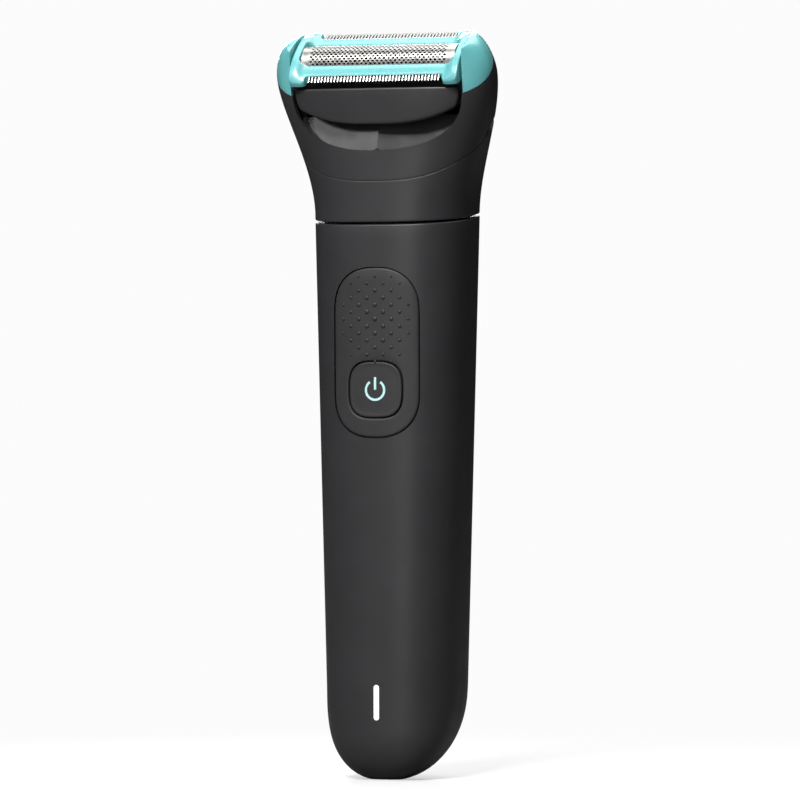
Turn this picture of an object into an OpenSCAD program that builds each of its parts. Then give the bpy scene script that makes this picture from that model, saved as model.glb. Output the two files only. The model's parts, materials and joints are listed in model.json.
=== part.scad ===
// Body groomer: a one-piece handle with a motor, a battery and a charging socket,
// a neck that clicks on top of it, and a tilted shaving head with a foil and two trimmers.
// Millimetres. +Z runs up the handle, -Y is the front with the button, the origin is
// below the handle's axis at the level of its foot.

/* [Handle] */
// Width of the handle at its top
handle_top_width = 37.4; // [34:0.2:42]
// Depth of the handle at its top
handle_top_depth = 31.4; // [29:0.2:35]
// Width of the handle just above its rounded foot
handle_foot_width = 31.7; // [30:0.2:36]
// Depth of the handle just above its rounded foot
handle_foot_depth = 29.2; // [28:0.2:33]
// Height of the seam between handle and neck, on the axis
handle_height = 131; // [128:0.5:136]
// Slope of that seam, which rises towards the back
seam_tilt = 6.5; // [0:0.5:9]
// Squareness of the sections: 2 is an ellipse
squareness = 2.75; // [2.4:0.05:3.2]
// Thickness of the handle's wall
handle_wall = 2; // [1.6:0.1:2.4]

/* [Head] */
// Widest part of the head, across the two end caps
head_width = 53.9; // [50:0.5:56]
// Tilt of the shaving head towards the front
head_tilt = 40; // [36:1:44]
// Thickness of the neck's and the head's walls
head_wall = 1.5; // [1.2:0.1:1.8]
// Radius of the curved shaving foil
foil_radius = 4.4; // [4.2:0.05:4.6]
// Spacing of the trimmers' teeth
tooth_pitch = 0.8; // [0.7:0.05:1]
// Spacing of the blades under the foil
blade_pitch = 1.05; // [0.9:0.05:1.5]

/* [Controls] */
// Width of the textured thumb panel
panel_width = 21.2; // [18:0.2:23]
// Height of the textured thumb panel
panel_height = 39.8; // [34:0.2:44]
// Size of the square power button
button_size = 12.9; // [11:0.1:14]
// Spacing of the ribs on the back grip
rib_pitch = 1.66; // [1.5:0.02:2.4]

/* [Hidden] */
$fn = 48;
ring_points = 48;      // corners of each section of the smooth shells
solver_steps = 14;     // rounds of the sloping-section solver

charcoal = "#2b2b2d";
panel_grey = "#333335";
teal = "#7fd6d3";
steel = "silver";
rubber_black = "#1b1b1c";

// --- Outer form -------------------------------------------------------------------------
foot_flat = 0.35;      // how much of the round foot is cut off flat
foot_y = -7.5;         // the foot's lowest line, forward of the axis
foot_top = 22;         // where the straight part of the handle starts
front_top = 146;       // where the front starts to lean forward
front_lean = 1.6;      // how far it leans
lean_height = 16;
neck_flare_height = 35.5;
neck_gap = 0.5;        // the dark groove between handle and neck
head_gap = 0.1;        // the hairline between neck and head

function lerp(a, b, t) = a + (b - a) * t;
function clamp01(t) = max(0, min(1, t));
function smooth(t) = let (c = clamp01(t)) c * c * (3 - 2 * c);
function sign1(v) = v < 0 ? -1 : 1;
function over(z, z0, c, p) = z <= z0 ? 0 : c * pow(z - z0, p);
function foot_round(z, h, q) =
    let (t = clamp01(1 - (z + foot_flat) / h)) pow(1 - pow(t, q), 1 / q);

function straight(z) = (z - foot_top) / (handle_height - foot_top);
function half_width(z) =
    lerp(handle_foot_width, handle_top_width, min(1, straight(z))) / 2 * foot_round(z, 20, 2.35)
    + (head_width - handle_top_width) / 2 * smooth((z - handle_height) / neck_flare_height);
function half_depth(z) = lerp(handle_foot_depth, handle_top_depth, min(1, straight(z))) / 2;
function front_y(z) = z < foot_top
    ? foot_y - (half_depth(z) + foot_y) * foot_round(z, 12, 2.2)
    : -half_depth(z) - front_lean * smooth((z - front_top) / lean_height);
function back_y(z) = z < foot_top
    ? foot_y + (half_depth(z) - foot_y) * foot_round(z, foot_top, 1.7)
    : half_depth(z) - over(z, handle_height, 0.018, 1.85);
function wide_y(z) = z < foot_top
    ? (front_y(z) + back_y(z)) / 2
    : -over(z, handle_height, 0.014, 1.8);
function back_squareness(z) = lerp(squareness, 2.4, clamp01((z - handle_height) / 20));

// A point of the section at height z, at angle t, moved in by inset.
function section_y(z, t, inset) = let (s = sin(t))
    s < 0 ? wide_y(z) - max(0.05, wide_y(z) - front_y(z) - inset) * pow(-s, 2 / squareness)
          : wide_y(z) + max(0.05, back_y(z) - wide_y(z) - inset) * pow(s, 2 / back_squareness(z));
function section_x(z, t, inset) = let (c = cos(t), n = sin(t) < 0 ? squareness : back_squareness(z))
    (half_width(z) - inset) * sign1(c) * pow(abs(c), 2 / n);
// The height at which the surface meets the plane z = z0 + slope * y, at angle t.
function slope_z(z0, slope, t, inset, z, n) =
    n == 0 ? z : slope_z(z0, slope, t, inset, z0 + slope * section_y(z, t, inset), n - 1);
function ring(z0, slope = 0, inset = 0) = [
    for (i = [0:ring_points - 1])
        let (t = 360 * i / ring_points, z = slope == 0 ? z0 : slope_z(z0, slope, t, inset, z0, solver_steps))
            [section_x(z, t, inset), section_y(z, t, inset), z]
];
// Height levels on which rings run from one sloping plane to another.
function rings_between(from, to, steps, inset = 0) = [
    for (i = [0:steps]) ring(lerp(from[0], to[0], i / steps), lerp(from[1], to[1], i / steps), inset)
];
// A closed solid through rings of equal length, with flat or fanned ends.
module skin(rings) {
    n = len(rings[0]);
    last = (len(rings) - 1) * n;
    polyhedron([for (r = rings) each r], concat(
        [[for (i = [0:n - 1]) i]],
        [for (k = [0:len(rings) - 2], i = [0:n - 1]) let (j = (i + 1) % n) [k * n + i, (k + 1) * n + i, (k + 1) * n + j]],
        [for (k = [0:len(rings) - 2], i = [0:n - 1]) let (j = (i + 1) % n) [k * n + i, (k + 1) * n + j, k * n + j]],
        [[for (i = [n - 1:-1:0]) last + i]]
    ), convexity = 6);
}
// A ring-shaped solid: the rings run round a loop and the last one joins the first.
module loop_skin(rings) {
    n = len(rings[0]);
    m = len(rings);
    polyhedron([for (r = rings) each r], concat(
        [for (k = [0:m - 1], i = [0:n - 1]) let (j = (i + 1) % n, q = (k + 1) % m) [k * n + i, q * n + i, q * n + j]],
        [for (k = [0:m - 1], i = [0:n - 1]) let (j = (i + 1) % n, q = (k + 1) % m) [k * n + i, q * n + j, k * n + j]]
    ), convexity = 6);
}
function reversed(list) = [for (i = [len(list) - 1:-1:0]) list[i]];

// --- Planes and places -------------------------------------------------------------------
seam_slope = tan(seam_tilt);
handle_rim = [handle_height - neck_gap / 2, seam_slope];
neck_rim = [handle_height + neck_gap / 2, seam_slope];
head_slope = tan(head_tilt);
head_seam_height = 152.2;                                  // where the head's seam would meet the axis
neck_top = [head_seam_height - head_gap / 2, head_slope];
head_foot = [head_seam_height + head_gap / 2, head_slope];
form_top = [182, tan(head_tilt - 9.6)];                    // upper end of the head's outer form
head_origin = [0, -10.5, 167.65];                          // middle of the foil frame
cap_inner_x = 21.2;                                        // inner faces of the end caps

button_z = 90.7;
panel_z = 99.3;
motor_y = 1.5;
motor_radius = 10;
motor_bottom = 92;
motor_top = 120;
rocker_z = 148;
pivot_v = -9;                                              // the head's pivot, below head_origin
pivot = head_origin + [0, -pivot_v * sin(head_tilt), pivot_v * cos(head_tilt)] * 1;

// Local axes of the shaving head: X along the foil, Y back along the foil frame, Z out of it.
module in_head() translate(head_origin) rotate([head_tilt, 0, 0]) children();
module half_space(plane, above = true) {
    size = 200;
    translate([0, 0, plane[0]]) rotate([atan(plane[1]), 0, 0])
        translate([-size / 2, -size / 2, above ? 0 : -size]) cube(size);
}
module bar(low, high) translate(low) cube(high - low);
module tube_between(a, b, r) {
    d = b - a;
    length = norm(d);
    translate(a) rotate([0, acos(d[2] / length), atan2(d[1], d[0])]) cylinder(h = length, r = r);
}
module mirrored_x() {
    children();
    mirror([1, 0, 0]) children();
}
module mirrored_y() {
    children();
    mirror([0, 1, 0]) children();
}

// --- Plates that follow the handle's surface ----------------------------------------------
function squircle(half_w, half_h, p, count = 44) = [
    for (i = [0:count - 1]) let (t = 360 * i / count)
        [half_w * sign1(cos(t)) * pow(abs(cos(t)), 2 / p), half_h * sign1(sin(t)) * pow(abs(sin(t)), 2 / p)]
];
// A long outline with straight sides and squarish round ends.
function long_outline(half_w, half_h, p = 2.4, steps = 10) = let (quarter = [
    for (k = [0:steps]) let (t = 90 * k / steps)
        [half_w * pow(cos(t), 2 / p), half_h - half_w + half_w * pow(sin(t), 2 / p)]])
    concat(quarter, [for (k = [steps - 1:-1:0]) [-quarter[k][0], quarter[k][1]]],
        [for (q = quarter) [-q[0], -q[1]]], [for (k = [steps - 1:-1:0]) [quarter[k][0], -quarter[k][1]]]);
function surface_y(x, z, side) = side * half_depth(z)
    * pow(1 - pow(min(0.995, abs(x) / half_width(z)), squareness), 1 / squareness);
// A plate between two grids of points, given as rows of equal length, outer grid first.
module plate_skin(outer, inner) {
    rows = len(outer);
    cols = len(outer[0]);
    total = rows * cols;
    function at(k, j) = k * cols + j;
    function quad(a, b, c, d) = [[a, b, c], [a, c, d]];
    polyhedron(concat([for (r = outer) each r], [for (r = inner) each r]), concat(
        [for (k = [0:rows - 2], j = [0:cols - 2])
            each quad(at(k, j), at(k + 1, j), at(k + 1, j + 1), at(k, j + 1))],
        [for (k = [0:rows - 2], j = [0:cols - 2])
            each quad(total + at(k, j), total + at(k, j + 1), total + at(k + 1, j + 1), total + at(k + 1, j))],
        [for (j = [0:cols - 2]) each quad(at(0, j), at(0, j + 1), total + at(0, j + 1), total + at(0, j))],
        [for (j = [0:cols - 2]) each quad(at(rows - 1, j + 1), at(rows - 1, j),
            total + at(rows - 1, j), total + at(rows - 1, j + 1))],
        [for (k = [0:rows - 2]) each quad(at(k + 1, 0), at(k, 0), total + at(k, 0), total + at(k + 1, 0))],
        [for (k = [0:rows - 2]) each quad(at(k, cols - 1), at(k + 1, cols - 1),
            total + at(k + 1, cols - 1), total + at(k, cols - 1))]
    ), convexity = 6);
}
// A curved plate on the front (side = -1) or back (side = 1), between two depths below the
// surface. Ribs raise every second level.
module surface_plate(side, z0, z1, half_w, outer, inner, levels = 2, across = 10, rib = 0) {
    function row(k, depth, rise) = let (z = lerp(z0, z1, k / levels), lift = k % 2 == 1 ? rise : 0)
        [for (j = [0:across]) let (s = side * (1 - 2 * j / across), x = s * half_w, fade = 1 - pow(abs(s), 4))
            [x, surface_y(x, z, side) + side * (lift * fade - depth), z]];
    plate_skin([for (k = [0:levels]) row(k, outer, rib)], [for (k = [0:levels]) row(k, inner, 0)]);
}
module front_prism(z, outline, y0 = -25, y1 = -5) translate([0, y1, z]) rotate([90, 0, 0])
    linear_extrude(y1 - y0) polygon(outline);
module back_prism(z, outline) mirror([0, 1, 0]) front_prism(z, outline);

// --- Handle ---------------------------------------------------------------------------------
panel_depth = 1.2;
plate_half_w = 12.6;
panel_low = panel_z - 21;
panel_high = panel_z + 21;
grip_z = 91;
grip_half_w = 12;
grip_half_h = 31.5;
grip_depth = 1;
grip_low = grip_z - 33;
grip_high = grip_z + 33;
lens_z = 18.1;
lens_size = [1.3, 8.2];
socket_y = -0.4;
socket_size = [9.6, 6.4];

module rounded_bar_2d(size) hull() for (s = [-1, 1]) translate([0, s * (size[1] - size[0]) / 2]) circle(d = size[0]);
module oval_2d(size) hull() for (s = [-1, 1]) translate([s * (size[0] - size[1]) / 2, 0]) circle(d = size[1]);
module lens_prism(grow, y0, y1) translate([0, y1, lens_z]) rotate([90, 0, 0])
    linear_extrude(y1 - y0) union() {
        square([lens_size[0] + 2 * grow, lens_size[1] - lens_size[0]], center = true);
        for (s = [-1, 1]) translate([0, s * (lens_size[1] - lens_size[0]) / 2]) circle(d = lens_size[0] + 2 * grow);
    }
module oval_prism(size, z0, z1) translate([0, socket_y, z0]) linear_extrude(z1 - z0) union() {
    square([size[0] - size[1], size[1]], center = true);
    for (s = [-1, 1]) translate([s * (size[0] - size[1]) / 2, 0]) circle(d = size[1]);
}

foot_levels = [0, 0.4, 1.2, 2.4, 4.4, 7.4, 11.4, 16.4];
cavity_levels = [3, 4.4, 7.4, 11.4, 16.4];
module handle_housing() color(charcoal) difference() {
    skin(concat(
        [for (z = foot_levels) ring(z)],
        rings_between([foot_top, 0], handle_rim, 8),
        reversed(rings_between([foot_top, 0], handle_rim, 4, handle_wall)),
        reversed([for (z = cavity_levels) ring(z, 0, handle_wall)])
    ));
    intersection() {
        front_prism(panel_z, long_outline(panel_width / 2, panel_height / 2));
        surface_plate(-1, panel_low, panel_high, plate_half_w, -0.6, panel_depth);
    }
    intersection() {
        back_prism(grip_z, long_outline(grip_half_w, grip_half_h));
        surface_plate(1, grip_low, grip_high, plate_half_w, -0.6, grip_depth);
    }
    front_prism(button_z, squircle(button_size / 2 + 0.1, button_size / 2 + 0.1, 3));
    lens_prism(0.05, -20, -10);
    oval_prism(socket_size + [0.1, 0.1], -1, 8);
}
module front_panel() color(panel_grey) difference() {
    intersection() {
        front_prism(panel_z, long_outline(panel_width / 2 - 0.25, panel_height / 2 - 0.25));
        surface_plate(-1, panel_low, panel_high, plate_half_w, 0, panel_depth - 0.05);
    }
    front_prism(button_z, squircle(button_size / 2 + 0.25, button_size / 2 + 0.25, 3));
}
module rear_grip() {
    ribs = floor((grip_high - grip_low) / rib_pitch);
    color(rubber_black) intersection() {
        back_prism(grip_z, long_outline(grip_half_w - 0.15, grip_half_h - 0.15));
        surface_plate(1, grip_low, grip_high, plate_half_w, 0, grip_depth - 0.05, 2 * ribs, 10, 0.45);
    }
}
module indicator_lens() color("white") difference() {
    lens_prism(0, -14.55, -11.9);
    translate([0, -11.9, lens_z]) cube([3, 0.3, 3], center = true);
}

// Power button, its symbol and the rubber membrane behind it.
button_thickness = 1.3;
symbol_radius = 2.3;
symbol_stroke = 0.42;
symbol_depth = 0.5;
module symbol_2d(grow = 0) {
    difference() {
        circle(r = symbol_radius + symbol_stroke / 2 + grow);
        circle(r = symbol_radius - symbol_stroke / 2 - grow);
        translate([0, symbol_radius]) square([1.7 - 2 * grow, 2.4], center = true);
    }
    translate([0, symbol_radius - 0.45]) square([symbol_stroke + 2 * grow, 2.3 + 2 * grow], center = true);
}
button_face_y = -half_depth(button_z);
module symbol_prism(grow, y0, y1) translate([0, y1, button_z - 0.1]) rotate([90, 0, 0])
    linear_extrude(y1 - y0) symbol_2d(grow);
module power_button() color(panel_grey) difference() {
    intersection() {
        front_prism(button_z, squircle(button_size / 2, button_size / 2, 3));
        surface_plate(-1, button_z - 10, button_z + 10, button_size / 2 + 1, 0, button_thickness);
    }
    symbol_prism(0.02, button_face_y - 1, button_face_y + symbol_depth + 0.02);
}
module power_symbol() color(teal) symbol_prism(0, button_face_y + 0.03, button_face_y + symbol_depth);
membrane_y = -12.5;
module button_seal() color(rubber_black) {
    bar([-6.8, membrane_y, button_z - 8.5], [6.8, membrane_y + 0.5, button_z + 8.5]);
    translate([0, membrane_y, button_z]) rotate([90, 0, 0]) cylinder(h = 0.6, r = 2.2);
}

// Electronics.
board_front = -11;
board_back = -9.8;
board_low = 15;
board_high = 110;
module circuit_board() color("#1f5a3c") difference() {
    bar([-7, board_front, board_low], [7, board_back, board_high]);
    for (z = screw_heights) translate([0, 0, z]) rotate([90, 0, 0]) cylinder(h = 30, r = 0.95, center = true);
}
screw_heights = [28, 104];
module tact_switch() color("#8c8c90") {
    bar([-2.6, board_front - 0.7, button_z - 2.6], [2.6, board_front, button_z + 2.6]);
    translate([0, board_front - 0.7, button_z]) rotate([90, 0, 0]) cylinder(h = 0.25, r = 1.3);
}
module board_components() color("#26262a") {
    bar([-3.5, board_front - 1, 58], [3.5, board_front, 65]);
    bar([-2, board_front - 0.9, 72], [2, board_front, 76]);
    bar([-0.8, board_front - 0.75, lens_z - 1.2], [0.8, board_front, lens_z + 1.2]);
    bar([3.4, board_front - 0.8, 40], [5.4, board_front, 43]);
    bar([-5.4, board_front - 0.8, 46], [-3.4, board_front, 49]);
    translate([2.5, board_front, 50]) rotate([90, 0, 0]) cylinder(h = 1.4, r = 1.8);
    for (k = [0:3]) bar([-4.6 + 2.6 * k, board_front - 0.5, 34], [-3.4 + 2.6 * k, board_front, 34.8]);
}
cell_y = 2.2;
cell_low = 34;
cell_high = 84;
cell_radius = 7;
module battery_cell() color("#3f7fb5") translate([0, cell_y, cell_low]) {
    cylinder(h = cell_high - cell_low - 1, r = cell_radius);
    cylinder(h = cell_high - cell_low, r = 2.8);
}
module battery_tabs() color("silver") {
    bar([-2, -9.4, cell_low - 0.35], [2, cell_y + 3, cell_low - 0.05]);
    bar([-2, -9.4, cell_high + 0.05], [2, cell_y + 3, cell_high + 0.35]);
    for (z = [cell_low - 0.35, cell_high + 0.05]) bar([-2, -9.75, z], [2, -9.4, z + 0.3]);
}
module motor_can() color("#a9a9ae") translate([0, motor_y, 0]) difference() {
    union() {
        translate([0, 0, motor_bottom]) cylinder(h = motor_top - motor_bottom, r = motor_radius);
        translate([0, 0, motor_top]) cylinder(h = 1.6, r = 3.1);
        translate([0, 0, motor_bottom - 1.2]) cylinder(h = 1.2, r = 3.1);
    }
    translate([0, 0, motor_bottom - 3]) cylinder(h = 40, r = 1.05);
}
lead_x = 4.2;
lead_z = 88.6;
lead_radius = 0.5;
module motor_leads() for (s = [-1, 1]) color(s < 0 ? "#c03028" : "#202024") translate([s * lead_x, 0, 0]) {
    translate([0, motor_y + 2, lead_z - lead_radius]) cylinder(h = motor_bottom - lead_z + lead_radius - 0.02, r = lead_radius);
    translate([0, motor_y + 2.5, lead_z]) rotate([90, 0, 0]) cylinder(h = motor_y + 2.5 - board_back - 0.02, r = lead_radius);
}

// The chassis holds motor, battery and board, and slides into the housing from the top.
spine_front = board_back + 0.02;
spine_back = -8.7;
module collar(y, inner_r, outer_r, z0, z1) translate([0, y, z0]) difference() {
    cylinder(h = z1 - z0, r = outer_r);
    translate([0, 0, -1]) cylinder(h = z1 - z0 + 2, r = inner_r);
}
module chassis() color("#4a4d52") difference() {
    union() {
        bar([-7, spine_front, 14], [7, spine_back, 121.5]);
        for (z = [95, 112]) collar(motor_y, motor_radius + 0.06, motor_radius + 1.1, z, z + 5);
        for (z = [38, 74]) {
            collar(cell_y, cell_radius + 0.08, cell_radius + 1.3, z, z + 5);
            for (s = [-1, 1]) bar([s * 3.2 - 0.7, spine_back, z], [s * 3.2 + 0.7, cell_y - cell_radius + 0.3, z + 5]);
        }
        bar([-6, spine_back, 86.2], [6, 9, 87.4]);
        bar([-6, spine_back, 30.4], [6, 9, 31.6]);
        bar([-6, spine_back, 14], [6, 5, 15.5]);
        for (z = screw_heights) translate([0, spine_back + 2.2, z]) rotate([90, 0, 0]) cylinder(h = 2.3, r = 2);
    }
    for (z = screw_heights) translate([0, -5, z]) rotate([90, 0, 0]) cylinder(h = 20, r = 0.84);
    translate([0, motor_y, motor_bottom - 0.2]) cylinder(h = 40, r = motor_radius + 0.06);
    for (z = [cell_low, cell_high]) bar([-2.4, -12, z - 0.6], [2.4, -8, z + 0.6]);
    for (s = [-1, 1]) bar([s * lead_x - 0.8, -12, lead_z - 0.9], [s * lead_x + 0.8, -8, lead_z + 0.9]);
}
module chassis_screws() color("#b8b8bc") for (z = screw_heights) translate([0, 0, z]) rotate([90, 0, 0]) {
    translate([0, 0, -board_front + 0.02]) difference() {
        cylinder(h = 0.9, r = 1.6);
        translate([0, 0, 0.4]) bar([-1.7, -0.2, 0], [1.7, 0.2, 1]);
    }
    translate([0, 0, 8.8]) cylinder(h = -board_front - 8.78, r = 0.8);
}

// Charging socket in the foot.
socket_floor = 10.5;
pin_x = 1.9;
module charging_socket() color(rubber_black) difference() {
    union() {
        oval_prism(socket_size, 4.3, 13);
        oval_prism(socket_size + [2.4, 2.4], 8.6, 13);
    }
    oval_prism(socket_size - [1.6, 1.6], 4, socket_floor);
    for (s = [-1, 1]) translate([s * pin_x, socket_y, 4]) cylinder(h = 12, r = 0.92);
}
module contact_pins() color("#d8b45a") for (s = [-1, 1]) translate([s * pin_x, socket_y, 0]) {
    translate([0, 0, 5.2]) cylinder(h = socket_floor - 5.2, r = 0.6);
    translate([0, 0, socket_floor]) cylinder(h = 3.4, r = 0.9);
}
module socket_gasket() color("#5a5a5e") difference() {
    oval_prism(socket_size + [2.4, 2.4], 7.9, 8.55);
    oval_prism(socket_size + [0.14, 0.14], 7, 9);
}

// Closure of the handle, with the round spigot that the neck clicks on.
spigot_radius = 11;
spigot_wall = 1.5;
spigot_top = 136.5;
cap_low = 122.6;
module handle_cap() color("#3a3a3e") difference() {
    union() {
        skin(concat(
            [ring(cap_low, 0, handle_wall + 0.08), ring(124.4, 0, handle_wall + 0.08)],
            [ring(124.45, 0, handle_wall + 1.1), ring(126.2, 0, handle_wall + 1.1)],
            [ring(126.25, 0, handle_wall + 0.08), ring(handle_rim[0], handle_rim[1], handle_wall + 0.08)]
        ));
        translate([0, 0, cap_low + 1]) cylinder(h = spigot_top - cap_low - 1, r = spigot_radius);
    }
    translate([0, 0, cap_low + 4.6]) cylinder(h = 30, r = spigot_radius - spigot_wall);
    translate([0, motor_y, 100]) cylinder(h = 60, r = 3.4);
    for (s = [-1, 1]) translate([s * spigot_radius, 0, 134.6]) cube([0.9, 8, 1.2], center = true);
}
module cap_seal() color("#606066") loop_skin([
    ring(124.55, 0, handle_wall + 1.05), ring(124.55, 0, handle_wall + 0.1),
    ring(126.1, 0, handle_wall + 0.1), ring(126.1, 0, handle_wall + 1.05)
]);
module shaft_seal() color(rubber_black) translate([0, motor_y, cap_low + 4.7]) difference() {
    union() {
        cylinder(h = 0.9, r = 6.4);
        cylinder(h = 2.4, r = 2.9);
    }
    translate([0, 0, -1]) cylinder(h = 10, r = 1.65);
}

// Rotor.
throw = 0.8;
drive_pin_radius = 0.8;
shaft_low = motor_bottom - 2;
shaft_high = 132.2;
module motor_shaft() color(steel) translate([0, motor_y, shaft_low]) cylinder(h = shaft_high - shaft_low, r = 1);
module eccentric() color("#e8e4da") translate([0, motor_y, 0]) {
    difference() {
        translate([0, 0, 130.3]) cylinder(h = 3.2, r = 2.9);
        translate([0, 0, 129]) cylinder(h = 1.26 + 2.04, r = 1.01);
    }
    translate([throw, 0, 133.45]) cylinder(h = 5, r = drive_pin_radius);
}

// --- Neck -------------------------------------------------------------------------------------
module neck_shell() color(charcoal) loop_skin(concat(
    rings_between(neck_rim, neck_top, 7),
    reversed(rings_between(neck_rim, neck_top, 7, head_wall))
));
base_plate = 137.9;
base_top = 139.2;
fork_opening = [12.6, 8];
module neck_base() color("#3a3a3e") difference() {
    skin(rings_between([neck_rim[0] + 0.3, seam_slope], [base_plate, 0], 2, head_wall + 0.06));
    translate([0, 0, 120]) cylinder(h = base_plate - 121, r = spigot_radius + 0.15);
    bar([-fork_opening[0] / 2, motor_y - fork_opening[1] / 2, 130],
        [fork_opening[0] / 2, motor_y + fork_opening[1] / 2, 150]);
    for (s = [-1, 1]) bar([s * 12.2 - 1.1, -4.2, 130], [s * 12.2 + 1.1, 4.2, 137.5]);
}
module detent_springs() color(steel) for (s = [-1, 1]) {
    bar([s * 11.7 - 0.15, -4, 132.6], [s * 11.7 + 0.15, 4, 137]);
    bar([s * 11.42 - 0.16, -3.6, 134.2], [s * 11.42 + 0.16, 3.6, 135]);
}
module rocker_bracket() color("#4a4d52") difference() {
    union() {
        bar([-9.4, -7.2, base_plate + 0.02], [9.4, 9.4, base_top]);
        for (y = [-6.6, 5.2]) {
            bar([-4, y, base_top - 0.2], [4, y + 2.3, rocker_z]);
            translate([0, y + 2.3, rocker_z]) rotate([90, 0, 0]) cylinder(h = 2.3, r = 3.4);
        }
    }
    bar([-fork_opening[0] / 2, motor_y - 3.4, 130], [fork_opening[0] / 2, motor_y + 3.4, 145]);
    translate([0, 20, rocker_z]) rotate([90, 0, 0]) cylinder(h = 40, r = rocker_pin_radius + 0.01);
    for (p = bracket_screws_at) translate([p[0], p[1], 130]) cylinder(h = 20, r = 0.9);
}
bracket_screws_at = [[-7.9, 0], [7.9, 0]];
module bracket_screws() color("#b8b8bc") for (p = bracket_screws_at) translate([p[0], p[1], base_top + 0.02]) {
    cylinder(h = 0.9, r = 1.4);
    translate([0, 0, base_plate - base_top]) cylinder(h = base_top - base_plate + 0.1, r = 0.8);
}
rocker_pin_radius = 1.2;
module rocker_pin() color(steel) translate([0, 7.9, rocker_z]) rotate([90, 0, 0]) cylinder(h = 14.8, r = rocker_pin_radius);
ball_radius = 1.5;
module drive_rocker() color("#e8e4da") difference() {
    union() {
        translate([0, motor_y + 3.2, rocker_z]) rotate([90, 0, 0]) cylinder(h = 6.4, r = 3);
        bar([-1.8, motor_y - 1.8, 139.5], [1.8, motor_y + 1.8, rocker_z]);
        bar([-4.6, motor_y - 2.6, 134.8], [4.6, motor_y + 2.6, 140]);
        tube_between([0, 0, rocker_z + 1], pivot, 0.95);
        translate(pivot) sphere(r = ball_radius);
    }
    bar([-2.8, motor_y - 5, 130], [2.8, motor_y + 5, 138.9]);
    translate([0, 20, rocker_z]) rotate([90, 0, 0]) cylinder(h = 40, r = rocker_pin_radius + 0.05);
}

// --- Head ----------------------------------------------------------------------------------------
rim_z = 160;            // middle of the front opening's outline
rim_half_w = 20.9;
rim_drop = 13.8;
rear_wall_v = -4.8;
opening_half_x = 20.95;
notch_plane = [155.1, tan(47)];     // upper face of the finger notch at the back of the seam
module finger_notch() mirrored_x() intersection() {
    bar([10, -3.8, 140], [40, 40, 175]);
    half_space(notch_plane, false);
}
module rim_outline() polygon(concat(
    [for (t = [180:8:360]) [rim_half_w * sign1(cos(t)) * pow(abs(cos(t)), 2 / 2.4), -rim_drop * pow(abs(sin(t)), 2 / 2.4)]],
    [[rim_half_w, 20], [-rim_half_w, 20]]));
// Height of the line where the teal end caps meet the shell: it steepens towards the back.
leaf_tip_y = -16.5;
function leaf_z(y) = let (s = y - leaf_tip_y) 157.6 + 0.5 * s + 0.068 * s * max(0, s);
module above_leaf(x0, x1, gap) along_x(x0, x1) polygon(concat(
    [for (y = [-24:1:1]) [y, leaf_z(y) + gap]], [[1, 200], [-24, 200]]));
// Near its upper edge the outer form is drawn in towards the inner faces of the end caps.
dome_height = 12;
dome_power = 2.25;
dome_gap = 0.35;         // how far above the end caps' inner edge the dome would close
function head_u(p) = (p[1] - head_origin[1]) * cos(head_tilt) + (p[2] - head_origin[2]) * sin(head_tilt);
function head_v(p) = (p[2] - head_origin[2]) * cos(head_tilt) - (p[1] - head_origin[1]) * sin(head_tilt);
function domed(p) = let (
        rise = clamp01((head_v(p) - cap_top(head_u(p)) - dome_gap) / dome_height + 1),
        share = max(0.1, pow(1 - pow(rise, dome_power), 1 / dome_power)))
    abs(p[0]) < cap_inner_x ? p : [sign1(p[0]) * (cap_inner_x + (abs(p[0]) - cap_inner_x) * share), p[1], p[2]];
module head_form() skin([for (r = rings_between(head_foot, form_top, 12)) [for (p = r) domed(p)]]);
cheek_low = -5;
module head_void() difference() {
    skin([for (r = rings_between([head_foot[0] - 1, head_slope], form_top, 12, head_wall)) [for (p = r) domed(p)]]);
    mirrored_x() in_head() bar([cap_inner_x, -16, cheek_low], [40, 16, 30]);
}
module head_shell() color(charcoal) difference() {
    head_form();
    head_void();
    translate([0, -8.5, rim_z]) rotate([90, 0, 0]) linear_extrude(16.5) rim_outline();
    in_head() bar([-opening_half_x, -20, rear_wall_v], [opening_half_x, 20, 30]);
    mirrored_x() in_head() along_x(opening_half_x - 0.1, 40) above_profile();
    mirrored_x() above_leaf(opening_half_x - 0.1, 40, -0.05);
    finger_notch();
}
chin_angle = 8;
chin_lean = 12.7;
chin_half_x = 20;
chin_thickness = 1.1;
module inside_head(gap) skin(rings_between([head_foot[0] + 0.4, head_slope], [head_foot[0] + 22, head_slope], 3, head_wall + gap));
module chin_plate() color("#232325") intersection() {
    translate([0, -14.1, 146.2]) rotate([-chin_lean, 0, 0]) translate([0, 0, -1.5])
        linear_extrude(10.5) polygon([
            [0, 0], [chin_half_x, chin_half_x * tan(chin_angle)],
            [chin_half_x, chin_half_x * tan(chin_angle) + chin_thickness], [0, chin_thickness],
            [-chin_half_x, chin_half_x * tan(chin_angle) + chin_thickness], [-chin_half_x, chin_half_x * tan(chin_angle)]
        ]);
    inside_head(0.25);
}
pivot_pin_radius = 1.5;
arm_t = 1.3;
arm_low = -14.2;
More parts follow.
